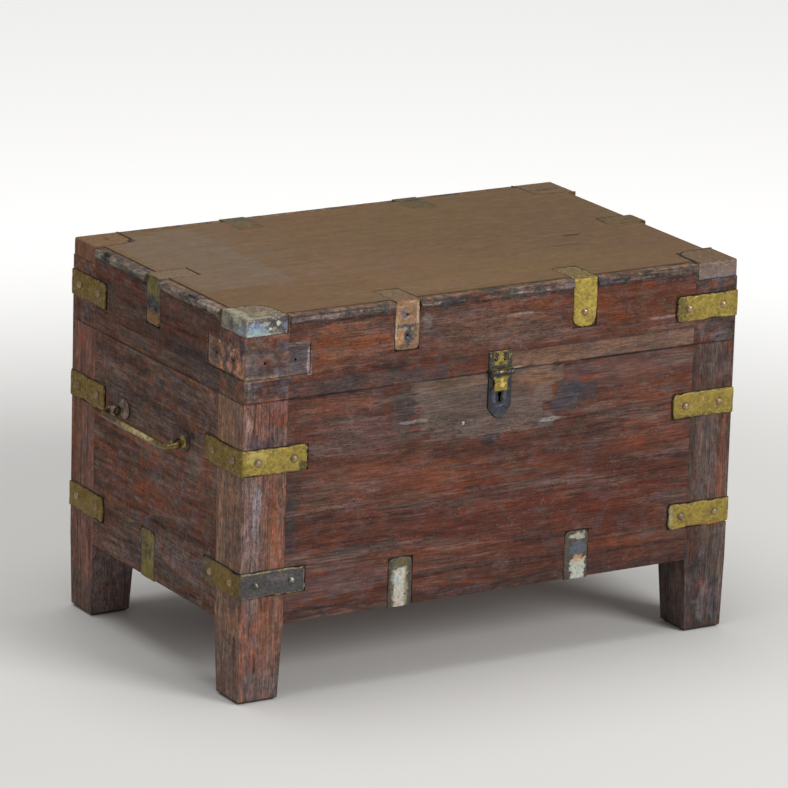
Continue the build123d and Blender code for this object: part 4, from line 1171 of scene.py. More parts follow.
class CHEST_OT_lid_rails(bpy.types.Operator):
    """Finish the lid's four rails"""

    bl_idname = "chest.lid_rails"
    bl_label = "Lid rails"

    def execute(self, context):
        red = context.scene.chest_wood.red
        brown = linear(84, 50, 36)
        plain = (0.85, 0.5, 0.8)
        looks = {
            "front": wood("Front rail", "x", red, (0.8, 0.7, 0.6), RAIL_FRONT, 11.7, 1.08, mottle=0.3),
            "left": wood("Left rail", "y", brown, (0.7, 0.45, 0.5), RAIL_LEFT, 14.1, 0.95, mottle=0.5,
                         contrast=0.65),
            "right": wood("Right rail", "y", red, plain, (), 16.3, mottle=0.35),
            "back": wood("Back rail", "x", red, plain, (), 18.9, mottle=0.35),
        }
        for side, look in looks.items():
            give(look, "lid_rail_" + side)
        return {"FINISHED"}


TOP_BOARDS = marks(
    "top",
    (-60, 0, 200, 110, (114, 86, 64), 0.5, 60),
    (240, 40, 150, 150, (98, 78, 58), 0.6, 60),
    (-220, 100, 60, 90, (118, 102, 84), 0.5, 50),
    (60, -150, 170, 40, (122, 98, 64), 0.5, 30),
    (120, 130, 120, 50, (112, 90, 60), 0.45, 40),
    (-140, -60, 100, 40, (130, 100, 82), 0.4, 40),
    (300, -110, 50, 30, (112, 84, 68), 0.4, 20),
    (241, -36, 16, 3, (46, 36, 34), 0.7, 3),
    (200, -80, 30, 6, (80, 62, 52), 0.4, 8),
    (-310, -30, 2.4, 2.4, (50, 40, 36), 0.8, 1),
    (-290, 60, 70, 150, (122, 107, 92), 0.45, 14, True),
    (20, 60, 60, 30, (106, 90, 62), 0.35, 30),
    (-60, -190, 90, 20, (134, 106, 82), 0.4, 20),
    (230, 190, 90, 26, (108, 88, 58), 0.45, 24),
) + FLUSH


class CHEST_OT_top(bpy.types.Operator):
    """Finish the top"""

    bl_idname = "chest.top"
    bl_label = "Top"

    def execute(self, context):
        shade = context.scene.chest_wood.top
        boards = wood("Top boards", "x", shade, (0.07, 0.0, 0.1), TOP_BOARDS, 21.3, grey=(0.19, 0.145, 0.1),
                      crisp=0.16, mottle=0.13, soil_and_shade=0.08, contrast=0.1)
        give(boards, "top_board_front", "top_board_back")
        return {"FINISHED"}


class CHEST_OT_bottom(bpy.types.Operator):
    """Finish the boards of the bottom"""

    bl_idname = "chest.bottom"
    bl_label = "Bottom boards"

    def execute(self, context):
        shade = context.scene.chest_wood.inside
        for index in (1, 2, 3):
            board = wood("Bottom board %d" % index, "x", shade, (0.5, 0.2, 0.4), (), 24.0 + 2.3 * index)
            give(board, "bottom_board_%d" % index)
        return {"FINISHED"}


STRIPS_AND_PAINTED_LIGHT = marks(
    "front",
    (0, 507, 400, 2.4, (84, 50, 40), 0.95, 1, True),
    "left",
    (0, 507, 400, 2.4, (80, 54, 42), 0.95, 1, True),
    "front",
    # Along the front nose: a dark line of dirt and painted shade in its groove, and above it a pale line of
    # wear and a painted highlight.
    (0, 511.5, 320, 1.0, (50, 54, 50), 0.75, 2),
    (0, 514, 320, 1.2, (164, 152, 148), 0.55, 3),
    (-280, 516, 40, 3, (150, 126, 128), 0.5, 4),
    (150, 515, 60, 3, (128, 108, 116), 0.5, 5),
    (301, 514, 8, 8, (44, 54, 54), 0.8, 4),
    (45, 518, 60, 2, (72, 44, 36), 0.6, 4),
    "left",
    # On the left nose: pale patches of wear and painted highlights, and a dark patch of dirt and painted
    # shade in its groove.
    (130, 514, 30, 5, (170, 170, 160), 0.6, 6),
    (-40, 513, 24, 5, (150, 148, 140), 0.6, 6),
    (-120, 514, 20, 5, (160, 158, 146), 0.5, 6),
    (70, 512, 30, 4, (46, 46, 42), 0.6, 6),
    "top",
    (0, -230, 400, 10, (124, 98, 74), 0.92, 1.5, True),
    (0, 230, 400, 10, (116, 92, 70), 0.92, 1.5, True),
    (-373, 0, 10, 400, (118, 98, 80), 0.8, 3, True),
    (0, -240, 400, 1.2, (58, 44, 38), 0.7, 2, True),
    # A pale line of wear and a painted highlight along the left strip's rounded outer edge.
    (-383, 0, 1.5, 400, (150, 148, 138), 0.5, 3, True),
)

# A strip's section: how far out and how far up, from 0 to 1.
STRIP_NOSE = (
    (0, 0), (0.3, 0), (0.6, 0), (0.72, 0), (0.72, 0.12), (0.72, 0.265), (0.86, 0.27), (0.95, 0.285),
    (0.985, 0.33), (0.96, 0.40), (0.955, 0.44), (0.985, 0.5), (1.0, 0.6), (0.99, 0.74), (0.95, 0.87),
    (0.86, 0.96), (0.74, 0.99), (0.5, 1.0), (0.25, 1.0), (0, 1.0),
)


class CHEST_OT_edge_strips(bpy.types.Operator):
    """Make the battered strips round the rim of the top"""

    bl_idname = "chest.edge_strips"
    bl_label = "Edge strips"

    def execute(self, context):
        blots = (linear(62, 58, 62), linear(54, 60, 52))
        brown, pale = linear(100, 84, 76), linear(127, 116, 102)
        looks = (("front", "x", brown), ("left", "y", pale), ("back", "x", brown))
        for index, (side, grain, shade) in enumerate(looks):
            material = wood("Edge strips with painted light, " + side, grain, shade, (0.9, 0.2, 0.7), STRIPS_AND_PAINTED_LIGHT, 31.0 + 3.7 * index,
                            mottle=0.8, blots=blots, soil_and_shade=0.25, contrast=0.6)
            node = "edge_strips_" + side
            for count, (low, high) in enumerate(solids(node), 1):
                shape = self.moulding(side, low, high)
                piece("worn_strip_%s_%d" % (side, count), shape, material, "lid", [node])
        return {"FINISHED"}

    def moulding(self, side, low, high):
        """A strip with a worn, rounded nose that stands out over the rail."""
        run, across = (1, 0) if side == "left" else (0, 1)
        long, deep, tall = high[run] - low[run], high[across] - low[across], high.z - low.z
        inner, way = (low[across], 1) if side == "back" else (high[across], -1)
        count = max(8, round(long / STEP))
        rings = []
        for index in range(count + 1):
            section = []
            for out, up in STRIP_NOSE:
                spot = Vector((0, 0, low.z + up * tall))
                spot[run] = low[run] + index / count * long
                spot[across] = inner + way * out * deep
                if out > 0.8:
                    wear = 0.5 + noise.noise(spot * 70) + 0.5 * noise.noise(spot * 190)
                    chip = max(0.0, noise.noise(spot * 38 + Vector((5, 1, 2))) - 0.28) * 9
                    lost = (max(0.0, wear) * 0.5 + chip) * MM
                    hidden = spot.copy()
                    hidden[across] = inner
                    spot += (hidden - spot).normalized() * lost
                    spot.z -= lost * 0.5 if up > 0.8 else 0.0
                section.append(spot)
            rings.append(section)
        return skin(rings)


STRAPS_RIGHT = marks(
    "front",
    (292, 461, 9, 18, (70, 62, 44), 0.6, 5),
    (330, 310, 50, 3, (96, 84, 52), 0.6, 3),
    (345, 152, 30, 5, (150, 96, 50), 0.6, 5),
    (287, 170, 4, 14, (150, 144, 124), 0.6, 3),
)

STRAPS_LEFT_AND_LIGHT = marks(
    "front",
    # A painted highlight on the front of the front left upper strap.
    (-360, 336, 16, 8, (196, 176, 110), 0.55, 6),
    (-290, 318, 7, 9, (60, 52, 40), 0.8, 4),
    "left",
    # Painted shade: the left faces darker and duller, as the side turned from the light.
    (0, 320, 240, 200, (114, 86, 26), 0.75, 10, True),
)

STRAP_IRON = marks(
    "front",
    (-331, 163, 49, 18.5, (74, 72, 76), 0.95, 1.5, True),
    (-331, 180, 48, 1.4, (160, 150, 110), 0.7, 1.5, True),
    (-331, 146, 48, 1.4, (150, 140, 96), 0.6, 1.5, True),
    (-284, 163, 1.6, 16, (170, 166, 160), 0.7, 1.5, True),
    (-320, 170, 20, 6, (112, 104, 104), 0.5, 6),
    "left",
    (-198, 163, 34, 24, (128, 98, 26), 0.8, 8),
)


class CHEST_OT_corner_straps(bpy.types.Operator):
    """Make the hammered straps that wrap the posts and the lid's corners"""

    bl_idname = "chest.corner_straps"
    bl_label = "Corner straps"

    def execute(self, context):
        settings = context.scene.chest_metal
        right = metal("Hammered brass", settings.brass, settings.olive, 0.5, STRAPS_RIGHT)
        left = metal("Hammered brass, left, painted light", settings.brass, settings.olive, 0.5, STRAPS_LEFT_AND_LIGHT)
        iron = metal("Strap of brass and iron", settings.olive, settings.iron, 0.5, STRAP_IRON)
        for index, corner in enumerate(("front_left", "front_right", "back_left", "back_right")):
            brass = left if corner.endswith("left") else right
            whole = corner != "front_left"
            corner_strap("upper_strap_" + corner, index + 1.0, brass, "carcass")
            corner_strap("lower_strap_" + corner, index + 11.0, brass if whole else iron, "carcass")
            if whole:
                corner_strap("lid_strap_" + corner, index + 21.0, brass, "lid")
        return {"FINISHED"}


FOLD_YELLOW = marks(
    "top",
    (137, -205, 19, 30, (130, 108, 74), 0.92, 4, True),
    (137, -205, 24, 40, (84, 74, 54), 0.5, 5, True),
)

FOLD_COPPERY = marks(
    "top",
    (-137, -205, 24, 40, (108, 92, 68), 0.92, 4, True),
    (-146, -232, 12, 5, (140, 92, 70), 0.6, 5),
    "front",
    (-143, 504, 6, 6, (108, 100, 114), 0.8, 4),
    (-152, 498, 4, 8, (188, 150, 98), 0.6, 4),
    (-139, 488, 15, 3.2, (68, 64, 72), 0.85, 3),
    (-145, 484, 9, 1.4, (116, 150, 156), 0.8, 1.5),
    (-135, 473, 6, 12, (58, 68, 82), 0.92, 3),
    (-127, 479, 3.5, 9, (84, 84, 66), 0.7, 3),
    (-149, 472, 5, 14, (178, 134, 96), 0.8, 3),
    (-155, 480, 1.6, 22, (190, 176, 158), 0.7, 1.5, True),
    (-122, 504, 1.8, 14, (192, 170, 150), 0.6, 1.5, True),
    (-140, 461, 14, 3, (92, 80, 60), 0.8, 3),
)

FOLD_SIDES = marks(
    "top",
    (-350, 9.5, 40, 26, (124, 104, 84), 0.97, 2, True),
    (350, 9.5, 26, 14, (102, 84, 66), 0.85, 5, True),
    "left",
    (9.5, 507, 20, 12, (128, 118, 62), 0.7, 4),
    (9.5, 483, 18, 12, (56, 58, 70), 0.9, 5),
    (9.5, 464, 18, 9, (150, 100, 54), 0.85, 5),
)

FOLD_PAINTED = marks(
    "front",
    (-138, 127, 9.5, 30, (200, 196, 182), 0.9, 6, True),
    (-143, 140, 6, 8, (178, 190, 190), 0.6, 5),
    (-140, 112, 4, 6, (206, 160, 150), 0.5, 4),
    (-128, 128, 2.4, 30, (126, 120, 76), 0.7, 5, True),
    (-149, 128, 2.0, 30, (120, 110, 70), 0.6, 5, True),
    (-137, 164, 12, 6, (112, 100, 56), 0.6, 5),
    (140, 116, 11, 15, (186, 190, 178), 0.9, 4, True),
    (140, 146, 12, 11, (84, 92, 106), 0.75, 5),
    (140, 163, 11, 5, (186, 182, 160), 0.8, 4),
    (140, 132, 9, 4, (196, 152, 108), 0.75, 4),
)

FOLD_UNDER = marks(
    "left",
    (9.5, 116, 16, 15, (134, 122, 52), 0.65, 5),
    (9.5, 138, 12, 4, (82, 66, 52), 0.5, 4),
)

HINGE_LEAVES = marks(
    "top",
    (-137, 216, 22, 22, (92, 84, 72), 0.8, 8),
    (137, 216, 22, 22, (96, 84, 68), 0.8, 8),
    (145, 222, 16, 4, (56, 50, 46), 0.7, 4),
    (-140, 204, 24, 14, (112, 92, 70), 0.6, 6),
)


class CHEST_OT_edge_straps(bpy.types.Operator):
    """Make the straps folded over the rim of the top and under the panels"""

    bl_idname = "chest.edge_straps"
    bl_label = "Edge straps"

    ROUNDS = (8 * MM, 3 * MM)  # how round the corners are at the tip and at the inner end
    TONGUE = (15 * MM, 3 * MM)  # the same for the one strap with a tongue
    FRONT_HOLES = (475 * MM, 503 * MM)  # heights of the lost nails' holes on the front
    TOP_HOLE = 41  # how far in the one on the top is, in millimetres
    FOOT_HOLE = 149 * MM  # height of the hole in a foot strap

    def execute(self, context):
        settings = context.scene.chest_metal
        brass, olive, iron = settings.brass, settings.olive, settings.iron
        yellow = metal("Yellow edge strap", tinted(brass, 1.33), olive, 0.45, FOLD_YELLOW)
        coppery = metal("Coppery edge strap", settings.copper, olive, 0.4, FOLD_COPPERY)
        sides = metal("Side edge straps", olive, iron, 0.5, FOLD_SIDES)
        paint = metal("Painted strap", linear(76, 66, 52), iron, 0.5, FOLD_PAINTED, metallic=0.15, specks=0.3)
        under = metal("Foot strap", tinted(olive, 1.5), linear(72, 72, 46), 0.6, FOLD_UNDER)
        for node, material in (
            ("top_strap_front_left", coppery),
            ("top_strap_front_right", yellow),
            ("top_straps_sides", sides),
            ("bottom_straps_front", paint),
            ("bottom_straps_sides", under),
            ("bottom_straps_back", under),
        ):
            for count, (low, high) in enumerate(solids(node), 1):
                self.folded(node, count, low, high, material)
        give(metal("Hinge leaf", olive, iron, 0.5, HINGE_LEAVES), "hinge_upper_leaves", "hinge_lower_leaves")
        return {"FINISHED"}

    def folded(self, node, count, low, high, material):
        """A strap on a face, folded over the rim or under the panel, with the holes of its lost nails."""
        over = node.startswith("top")
        along = 1 if node.endswith("sides") else 0
        rim, tip = (high.z, low.z) if over else (low.z, high.z)
        outer, inner = outermost(low, high)
        outer[along] = inner[along] = ((low + high) / 2)[along]
        start = Vector((*outer.xy, tip))
        corner = Vector((*outer.xy, rim))
        end = Vector((*inner.xy, rim))
        route = bent_route(start, corner, end, FOLDED_BEND)
        holes = []
        if node == "top_strap_front_left":
            holes = [Vector((*outer.xy, level)) for level in self.FRONT_HOLES]
            holes.append(Vector((outer.x, FRONT, rim)) + (end - corner).normalized() * self.TOP_HOLE * MM)
        elif not over and not node.endswith("front"):
            holes = [Vector((*outer.xy, self.FOOT_HOLE))]
        seed = 30.0 + count + len(node) * 0.7 + (5.0 if over else 0.0)
        rounds = self.TONGUE if node == "top_strap_front_right" else self.ROUNDS
        shape, rims = strap(route, high[along] - low[along], FOLDED_SHEET, seed, rounds, 0.5, True, holes)
        for point in shape[0]:
            point.z = min(point.z, rim) if over else max(point.z, rim)
        name = "folded_%s_%d" % (node, count)
        piece(name, shape, material, "lid" if over else "carcass", [node], rims)


CAP_PAINTED = marks(
    "top",
    (-346, -205, 40, 40, (120, 101, 74), 0.92, 6, True),
    (-370, -200, 7, 44, (168, 166, 142), 0.6, 6),
    (-354, -234, 24, 5, (164, 162, 138), 0.65, 7),
    (-345, -214, 10, 8, (150, 142, 108), 0.6, 6),
    "front",
    (-340, 519, 40, 4.5, (92, 76, 70), 0.85, 6),
    (-325, 509, 25, 14, (68, 58, 55), 0.95, 7),
    (-362, 511, 15, 5, (104, 116, 150), 0.8, 6),
    (-364, 504, 14, 5, (148, 176, 186), 0.6, 4),
    (-354, 499.5, 26, 2.0, (190, 192, 180), 0.7, 3),
    (-318, 508, 6, 6, (122, 124, 146), 0.6, 4),
    (-330, 501, 10, 3, (132, 120, 110), 0.6, 4),
    (-349, 514, 4, 2.6, (178, 176, 148), 0.8, 3),
    (-331, 514, 2.2, 2.8, (214, 206, 196), 0.9, 2),
    (-343, 507, 2.2, 2.0, (224, 220, 190), 0.9, 2),
    (-336, 507, 2.8, 2.0, (168, 160, 124), 0.8, 2),
    "left",
    (-205, 509, 40, 14, (126, 111, 93), 0.92, 6, True),
    (-226, 506, 10, 8, (126, 140, 160), 0.75, 6),
    (-222, 502, 12, 4, (170, 182, 184), 0.6, 5),
    (-212, 517, 16, 5, (184, 190, 168), 0.7, 5),
    (-200, 509, 6, 9, (62, 52, 46), 0.75, 5),
    (-178, 512, 6, 9, (150, 146, 132), 0.6, 5),
    (-205, 499.5, 40, 2, (128, 118, 100), 0.6, 3),
)

CAP_PINKISH = marks(
    "top",
    (345, -205, 44, 44, (110, 90, 66), 0.9, 5, True),
) + FLUSH + marks(
    "front",
    (345, 501, 34, 3.0, (104, 106, 116), 0.7, 3),
    (335, 517, 4, 3, (34, 28, 30), 0.8, 2),
    (352, 516, 3, 2, (34, 28, 30), 0.8, 2),
    (365, 518, 3, 2, (34, 28, 30), 0.8, 2),
    "top",
    (318, -180, 12, 12, (92, 76, 62), 0.5, 6),
    "front",
    (348, 512, 34, 9, (114, 97, 88), 0.7, 6),
    (312, 511, 2, 14, (60, 56, 54), 0.6, 3, True),
)

CAP_TAN = marks(
    "top",
    (-348, 205, 40, 40, (121, 98, 70), 0.9, 4, True),
    (-345, 208, 3, 3, (60, 46, 40), 0.9, 1),
) + FLUSH

CAP_BROWN = marks(
    "top",
    (345, 205, 44, 44, (106, 85, 60), 0.85, 6, True),
    (345, 200, 22, 4, (60, 48, 44), 0.6, 7),
) + FLUSH


class CHEST_OT_corner_caps(bpy.types.Operator):
    """Make the thin caps over the corners of the lid"""

    bl_idname = "chest.corner_caps"
    bl_label = "Corner caps"

    GAP = 0.6 * MM  # how much smaller the sheet is than the cap
    CORNER = 26 * MM  # rounding of its inner corner
    BEND = 3 * MM  # rounding of its bends
    LEAST = 0.02 * MM  # how far its points stay inside the cap's box
    UNDER = 0.05 * MM  # how far its surface stays under the cap's faces
    WAVES = 0.4  # its waviness in millimetres
    DENTS = 0.3 * MM  # depth of its dents
    BATTERED = 0.9 * MM  # the same on the battered one
    RIM = 3.5 * MM  # how far the dark rim reaches
    TOP_RIM = 5 * MM  # the same on the top
    DARKNESS = 4 * MM  # the reach that makes the rim fully dark
    STEPS = 26  # steps of points along a side

    def execute(self, context):
        settings = context.scene.chest_metal
        pink, iron = settings.pink, settings.iron
        looks = {
            "front_left": metal("Painted cap", linear(150, 162, 164), linear(98, 92, 84), 0.75, CAP_PAINTED,
                                metallic=0.15, depth=1.2 * MM),
            "front_right": metal("Pinkish cap", pink, iron, 0.5, CAP_PINKISH, metallic=0.15),
            "back_left": metal("Tan cap", linear(130, 74, 28), iron, 0.35, CAP_TAN, metallic=0.15),
            "back_right": metal("Brown cap", pink, settings.tan, 0.5, CAP_BROWN, metallic=0.15),
        }
        for corner, material in looks.items():
            self.cap("corner_cap_" + corner, material, corner == "front_left")
        return {"FINISHED"}

    def cap(self, node, material, battered):
        """A cap over one corner, bent from thin sheet."""
        low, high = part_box(node)
        size, drop = high.x - low.x - self.GAP, high.z - low.z
        corner = outermost(low, high)[0]
        sx, sy = (math.copysign(1, value) for value in corner.xy)
        depth = self.BATTERED if battered else self.DENTS
        points, faces, rims = [], [], []

        def outward(u, v, w):
            """A point of the sharp cap, moved onto its rounded edges, with its outward direction."""
            kept = Vector([max(value, self.BEND) for value in (u, v, w)])
            out = Vector((u, v, w)) - kept
            out.normalize()
            return kept + out * self.BEND, out

        def settle(u, v, w):
            """A point of the cap, worn and dented."""
            place, out = outward(u, v, w)
            straight = size - self.CORNER
            past = Vector((max(0.0, u - straight), max(0.0, v - straight)))
            if w == 0 and past.x > 0 and past.y > 0:
                scale = max(past.x, past.y) / past.length
                place.x = straight + past.x * scale
                place.y = straight + past.y * scale
            wobble = [noise.noise(place * 80), noise.noise(place * 80 + Vector((9, 9, 9))), 0]
            wobble = Vector(wobble) * self.WAVES * MM
            dent = noise.noise(place * 95 + Vector((sx, sy, 0))) + 0.5 * noise.noise(place * 260)
            place = place + wobble - out * (abs(dent * depth) + self.UNDER)
            x, y, z = (max(value, self.LEAST) for value in place)
            return Vector((corner.x - sx * x, corner.y - sy * y, high.z - z))

        def patch(columns, spot):
            """A grid of points over one face of the cap."""
            base = len(points)
            for row in range(self.STEPS + 1):
                for column in range(columns + 1):
                    u, v, w = spot(row / self.STEPS, column / columns)
                    points.append(settle(u, v, w))
                    edge = min(size - u, size - v, drop - w) if w else min(size - u, size - v)
                    rim = self.TOP_RIM if w == 0 and not battered else self.RIM
                    rims.append(max(0.0, rim / self.DARKNESS - edge / rim))
            for row in range(self.STEPS):
                for column in range(columns):
                    first = base + row * (columns + 1) + column
                    faces.append((first, first + 1, first + columns + 2, first + columns + 1))

        down = max(6, round(drop / size * self.STEPS))
        patch(self.STEPS, lambda a, b: (a * size, b * size, 0.0))
        patch(down, lambda a, b: (a * size, 0.0, b * drop))
        patch(down, lambda a, b: (0.0, a * size, b * drop))
        made = piece("bent_" + node, (points, faces), material, "lid", [node], rims)
        sheet = made.modifiers.new("Sheet", "SOLIDIFY")
        sheet.thickness = CAP_SHEET
        sheet.offset = -1.0


# The hasp's middle along the front and the handles' height, in millimetres.
HASP = sum(corner.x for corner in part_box("hasp_leaf")) / 2 / MM
GRIP = sum(corner.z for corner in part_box("handle_eyes_left")) / 2 / MM

NAIL_HEADS = marks(
    "front",
    (HASP, 428, 14, 8, (34, 32, 38), 0.95, 1, True, 20),
    (-331, 163, 50, 10, (72, 70, 74), 0.9, 1, True, 20),
    (-304, 166, 4, 4, (128, 146, 130), 0.8, 2, True, 20),
    "left",
    (9.5, 476, 16, 10, (70, 66, 68), 0.85, 1, True, 20),
)


class CHEST_OT_nails(bpy.types.Operator):
    """Finish the nails and the hasp's screws"""

    bl_idname = "chest.nails"
    bl_label = "Nails"

    def execute(self, context):
        settings = context.scene.chest_metal
        heads = metal("Nail heads", settings.nail, settings.iron, 0.5, NAIL_HEADS, metallic=0.7,
                      depth=0.3 * MM, roughness=(0.3, 0.5))
        give(heads, "carcass_nails", "lid_nails")
        return {"FINISHED"}


DARK = (46, 50, 60)
HASP_LEAF = marks(
    "front",
    (HASP - 14.5, 424, 4.5, 30, DARK, 0.9, 2, True),
    (HASP + 14.5, 424, 4.5, 30, DARK, 0.9, 2, True),
    (HASP, 410, 20, 7.5, DARK, 0.9, 2, True),
    (HASP - 6, 432, 3.6, 3.6, (30, 28, 34), 0.9, 1),
    (HASP + 7, 432, 3.6, 3.6, (30, 28, 34), 0.9, 1),
)

HASP_FLAP_AND_HIGHLIGHT = marks(
    "front",
    (HASP, 408, 20, 6.5, DARK, 0.9, 2, True),
    (HASP - 14, 388, 4, 12, DARK, 0.8, 2),
    (HASP + 14, 388, 4, 12, DARK, 0.8, 2),
    # A painted highlight on the flap's waist.
    (HASP + 3, 392, 4, 7, (216, 196, 120), 0.7, 4),
)

LOCK_IRON_AND_LIGHT = marks(
    "front",
    # A paler ring painted as the highlight of a relief round the keyhole, then painted shade inside the
    # keyhole.
    (HASP, 378, 12, 15, (70, 72, 84), 0.6, 3),
    (HASP, 376, 7.5, 13, (22, 24, 30), 0.85, 2.5),
    # Pale lines painted as highlights round the keyhole.
    (HASP - 8.5, 374, 1.6, 12, (92, 96, 108), 0.6, 2.5),
    (HASP + 7.5, 376, 1.6, 11, (96, 98, 106), 0.6, 2.5),
    (HASP - 3, 362, 6, 1.6, (96, 102, 122), 0.7, 2),
    (HASP - 4, 357, 7, 2.2, (48, 54, 82), 0.7, 3),
    (HASP, 348, 12, 5, (72, 74, 74), 0.6, 4),
    # Painted shade along the plate's sides, darker on the left.
    (HASP - 16, 374, 3, 30, (34, 32, 40), 0.7, 3, True),
    (HASP + 16, 370, 3, 30, (38, 38, 44), 0.6, 3, True),
)


class CHEST_OT_hasp_and_lock(bpy.types.Operator):
    """Finish the hasp, its leaf, the lock plate, the lock's works and the hinge pins"""

    bl_idname = "chest.hasp_and_lock"
    bl_label = "Hasp and lock"

    def execute(self, context):
        settings = context.scene.chest_metal
        leaf = metal("Hasp leaf", settings.brass, settings.iron, 0.8, HASP_LEAF)
        flap = metal("Hasp brass, painted highlight", settings.brass, settings.olive, 0.6, HASP_FLAP_AND_HIGHLIGHT, metallic=0.75,
                     roughness=(0.3, 0.5))
        iron = metal("Lock iron, painted light", settings.iron, linear(28, 28, 34), 0.7, LOCK_IRON_AND_LIGHT, metallic=0.4)
        give(leaf, "hasp_leaf")
        give(flap, "hasp")
        give(iron, "lock_plate", "lock_case", "lock_bolt", "hinge_pins", "hasp_pin")
        return {"FINISHED"}


HANDLE_GRIP_AND_HIGHLIGHTS = marks(
    "left",
    (-68, GRIP, 18, 30, (112, 94, 62), 0.7, 8, False, 60),
    (70, GRIP, 36, 30, (88, 66, 50), 0.85, 6, False, 60),
    # Painted highlights along the upper side of the grip.
    (-16, GRIP - 1, 54, 4.5, (218, 200, 134), 0.5, 1.6, False, 60),
    (-24, GRIP - 0.5, 30, 2.6, (240, 226, 166), 0.6, 1.6, False, 60),
    (92, GRIP, 16, 30, (160, 136, 118), 0.85, 6, False, 24),
    # A painted highlight on the near end.
    (-96, GRIP, 7, 12, (236, 212, 120), 0.85, 4, False, 22),
)

HANDLE_EYES = marks(
    "left",
    (-84, GRIP, 9, 9, (190, 166, 84), 0.8, 3, False, 24),
    (84, GRIP, 20, 20, (166, 144, 126), 0.85, 8, False, 24),
    (84, GRIP, 20, 20, (88, 76, 68), 0.8, 3, False, 3.2),
    (-84, GRIP, 20, 20, (76, 68, 64), 0.8, 3, False, 3.2),
)

# The eyes' round plates and their knobs: distance along and radius, in millimetres.
EYE = 7.5
PLATE = ((0.0, 13.4), (1.2, 13.9), (2.0, 13.2), (2.6, 11.5), (3.0, 8.5), (3.6, 6.4), (5.5, 5.2), (9.0, 4.9))
KNOB = ((-5.0, 4.3), (-5.0, 5.6), (-4.3, 6.7), (-2.6, 7.3), (0, EYE), (2.6, 7.3), (4.3, 6.7), (5.0, 5.6),
        (5.0, 4.3), (2.0, 4.1), (-2.0, 4.1))


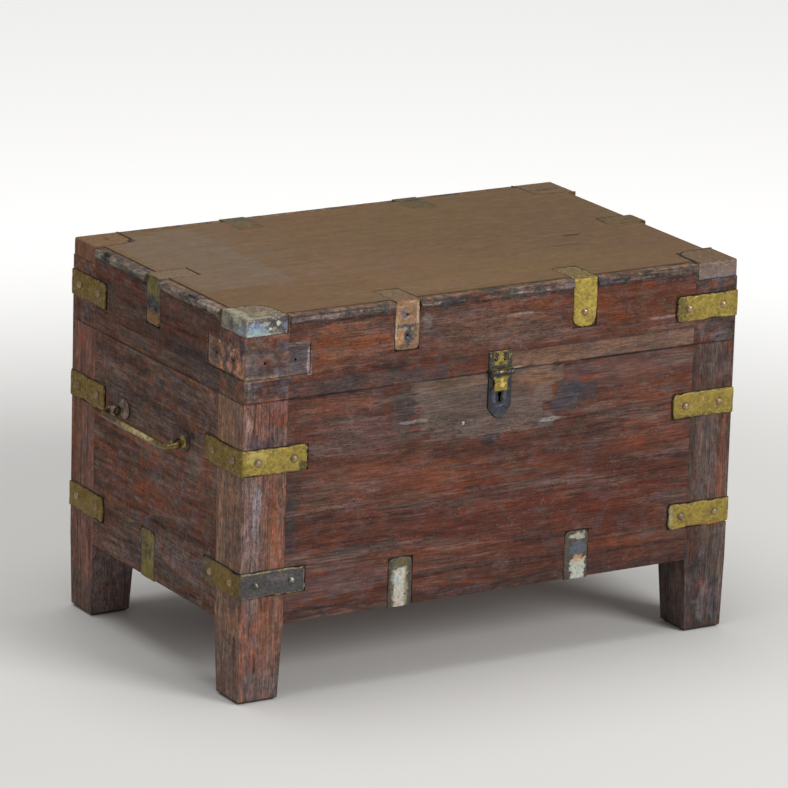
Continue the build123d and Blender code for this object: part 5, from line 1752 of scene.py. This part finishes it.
class CHEST_OT_handles(bpy.types.Operator):
    """Make the bail handles and their eyes"""

    bl_idname = "chest.handles"
    bl_label = "Handles"

    THICK = 5.2 * MM  # radius of the grip, and of the arms round their pins
    SLIM = 3.4 * MM  # radius of the arms
    PIN = 3.8 * MM  # radius in the eyes
    ROD = 4 * MM  # how near to the pivots that holds
    INSIDE = 4  # how far the grip's middle lies inside the bail's box, in millimetres
    SHORTER = 1.5 * MM  # how much the arms are shortened from there
    GAP = 0.1 * MM  # what is left free at each side of the box
    PIN_END = 6 * MM  # how far a pin ends inside the middle of its eye
    HALF_EYE = 5.4 * MM  # how far the eye reaches outside its middle
    SWELLING = 13 * MM  # how far from the pivots the arms are thicker
    BENDS = (4 * MM, 15 * MM, 15 * MM, 4 * MM)  # radii from pin to pin
    SPACING = 1.2 * MM  # of the points along it

    def execute(self, context):
        grip = metal("Handle brass, painted highlights", linear(126, 106, 62), linear(100, 84, 56), 0.55, HANDLE_GRIP_AND_HIGHLIGHTS,
                     metallic=0.7, specks=0.12, depth=0.3 * MM, roughness=(0.25, 0.4))
        eyes = metal("Handle eyes", linear(84, 72, 62), linear(60, 52, 48), 0.8, HANDLE_EYES, metallic=0.5)
        for side, sign in (("left", -1), ("right", 1)):
            self.bail(side, sign, grip)
            self.eyes(side, sign, eyes)
        return {"FINISHED"}

    def pivots(self, side, sign):
        """The middles of the two eyes of a handle."""
        found = []
        for low, high in solids("handle_eyes_" + side):
            middle = (low + high) / 2
            out = (high if sign > 0 else low).x
            found.append(Vector((out - sign * EYE * MM, middle.y, middle.z)))
        return sorted(found, key=lambda place: place.y)

    def bail(self, side, sign, material):
        """A bowed bail, thicker in the middle of its grip and round its pins."""
        node = "handle_" + side
        low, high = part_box(node)
        near, far = self.pivots(side, sign)
        pivot = (near + far) / 2
        bar = Vector(((high if sign > 0 else low).x, 0, low.z)) + Vector((-sign, 0, 1)) * self.INSIDE * MM
        arm = (bar - pivot).normalized() * ((bar - pivot).length - self.SHORTER)
        wide = (high.y - low.y) / 2 - self.THICK - self.GAP
        pin = far.y - self.PIN_END
        stops = ((-pin, 0), (-wide, 0), (-wide, 1), (wide, 1), (wide, 0), (pin, 0))
        corners = [pivot + arm * out + Vector((0, along, 0)) for along, out in stops]
        path = rounded_path(corners, self.BENDS, self.SPACING)
        swelling = self.THICK - self.SLIM
        radii = []
        for spot in path:
            from_pivot = (spot - pivot - Vector((0, spot.y, 0))).length
            share = max(0.0, 1 - (abs(spot.y) / wide) ** 3) * min(1.0, from_pivot / arm.length)
            radius = self.SLIM + swelling * share
            radius += swelling * max(0.0, 1 - from_pivot / self.SWELLING) ** 0.7
            past_eye = abs(spot.y) - far.y - self.HALF_EYE
            if from_pivot < self.ROD:
                radius = self.PIN if past_eye < 0 else min(radius, self.PIN + past_eye * 1.5)
            radii.append(radius * (1 + 0.03 * noise.noise(spot * 160)))
        piece("bowed_" + node, rod(path, radii), material, node, [node])

    def eyes(self, side, sign, material):
        """Knobbed eyes on domed round plates."""
        shapes = []
        for pivot in self.pivots(side, sign):
            wall = Vector((sign * (RIGHT - LEFT) / 2, pivot.y, pivot.z))
            shapes.append(turned(PLATE, wall, (sign, 0, 0)))
            shapes.append(turned(KNOB, pivot, (0, 1, 0), looped=True))
        points, faces = joined(*shapes)
        for point in points:
            point += Vector((0, 0, 0.35 * MM * noise.noise(point * 150)))
        name = "knobbed_eyes_" + side
        piece(name, (points, faces), material, "carcass", ["handle_eyes_" + side])


OPERATORS = (
    CHEST_OT_stage,
    CHEST_OT_posts,
    CHEST_OT_panels,
    CHEST_OT_lid_rails,
    CHEST_OT_top,
    CHEST_OT_bottom,
    CHEST_OT_edge_strips,
    CHEST_OT_corner_straps,
    CHEST_OT_edge_straps,
    CHEST_OT_corner_caps,
    CHEST_OT_nails,
    CHEST_OT_hasp_and_lock,
    CHEST_OT_handles,
)


class CHEST_PT_sidebar(bpy.types.Panel):
    """Lists the chest's pieces"""

    bl_label = "Chest"
    bl_idname = "CHEST_PT_sidebar"
    bl_space_type = "VIEW_3D"
    bl_region_type = "UI"
    bl_category = "Chest"

    def draw(self, context):
        for operator in OPERATORS:
            self.layout.operator(operator.bl_idname)


SETTINGS = {
    "chest_wood": ChestWoodSettings,
    "chest_metal": ChestMetalSettings,
    "chest_stage": ChestStageSettings,
}
CLASSES = (*SETTINGS.values(), *OPERATORS, CHEST_PT_sidebar)


def register():
    """Register the settings, the operators and the panel."""
    for kind in CLASSES:
        bpy.utils.register_class(kind)
    for name, kind in SETTINGS.items():
        setattr(bpy.types.Scene, name, PointerProperty(type=kind))


def unregister():
    """Take everything out again."""
    for name in SETTINGS:
        delattr(bpy.types.Scene, name)
    for kind in reversed(CLASSES):
        bpy.utils.unregister_class(kind)


def main():
    """Dress the chest."""
    register()
    for operator in OPERATORS:
        group, name = operator.bl_idname.split(".")
        getattr(getattr(bpy.ops, group), name)()
    bpy.context.view_layer.update()


if __name__ == "__main__":
    main()
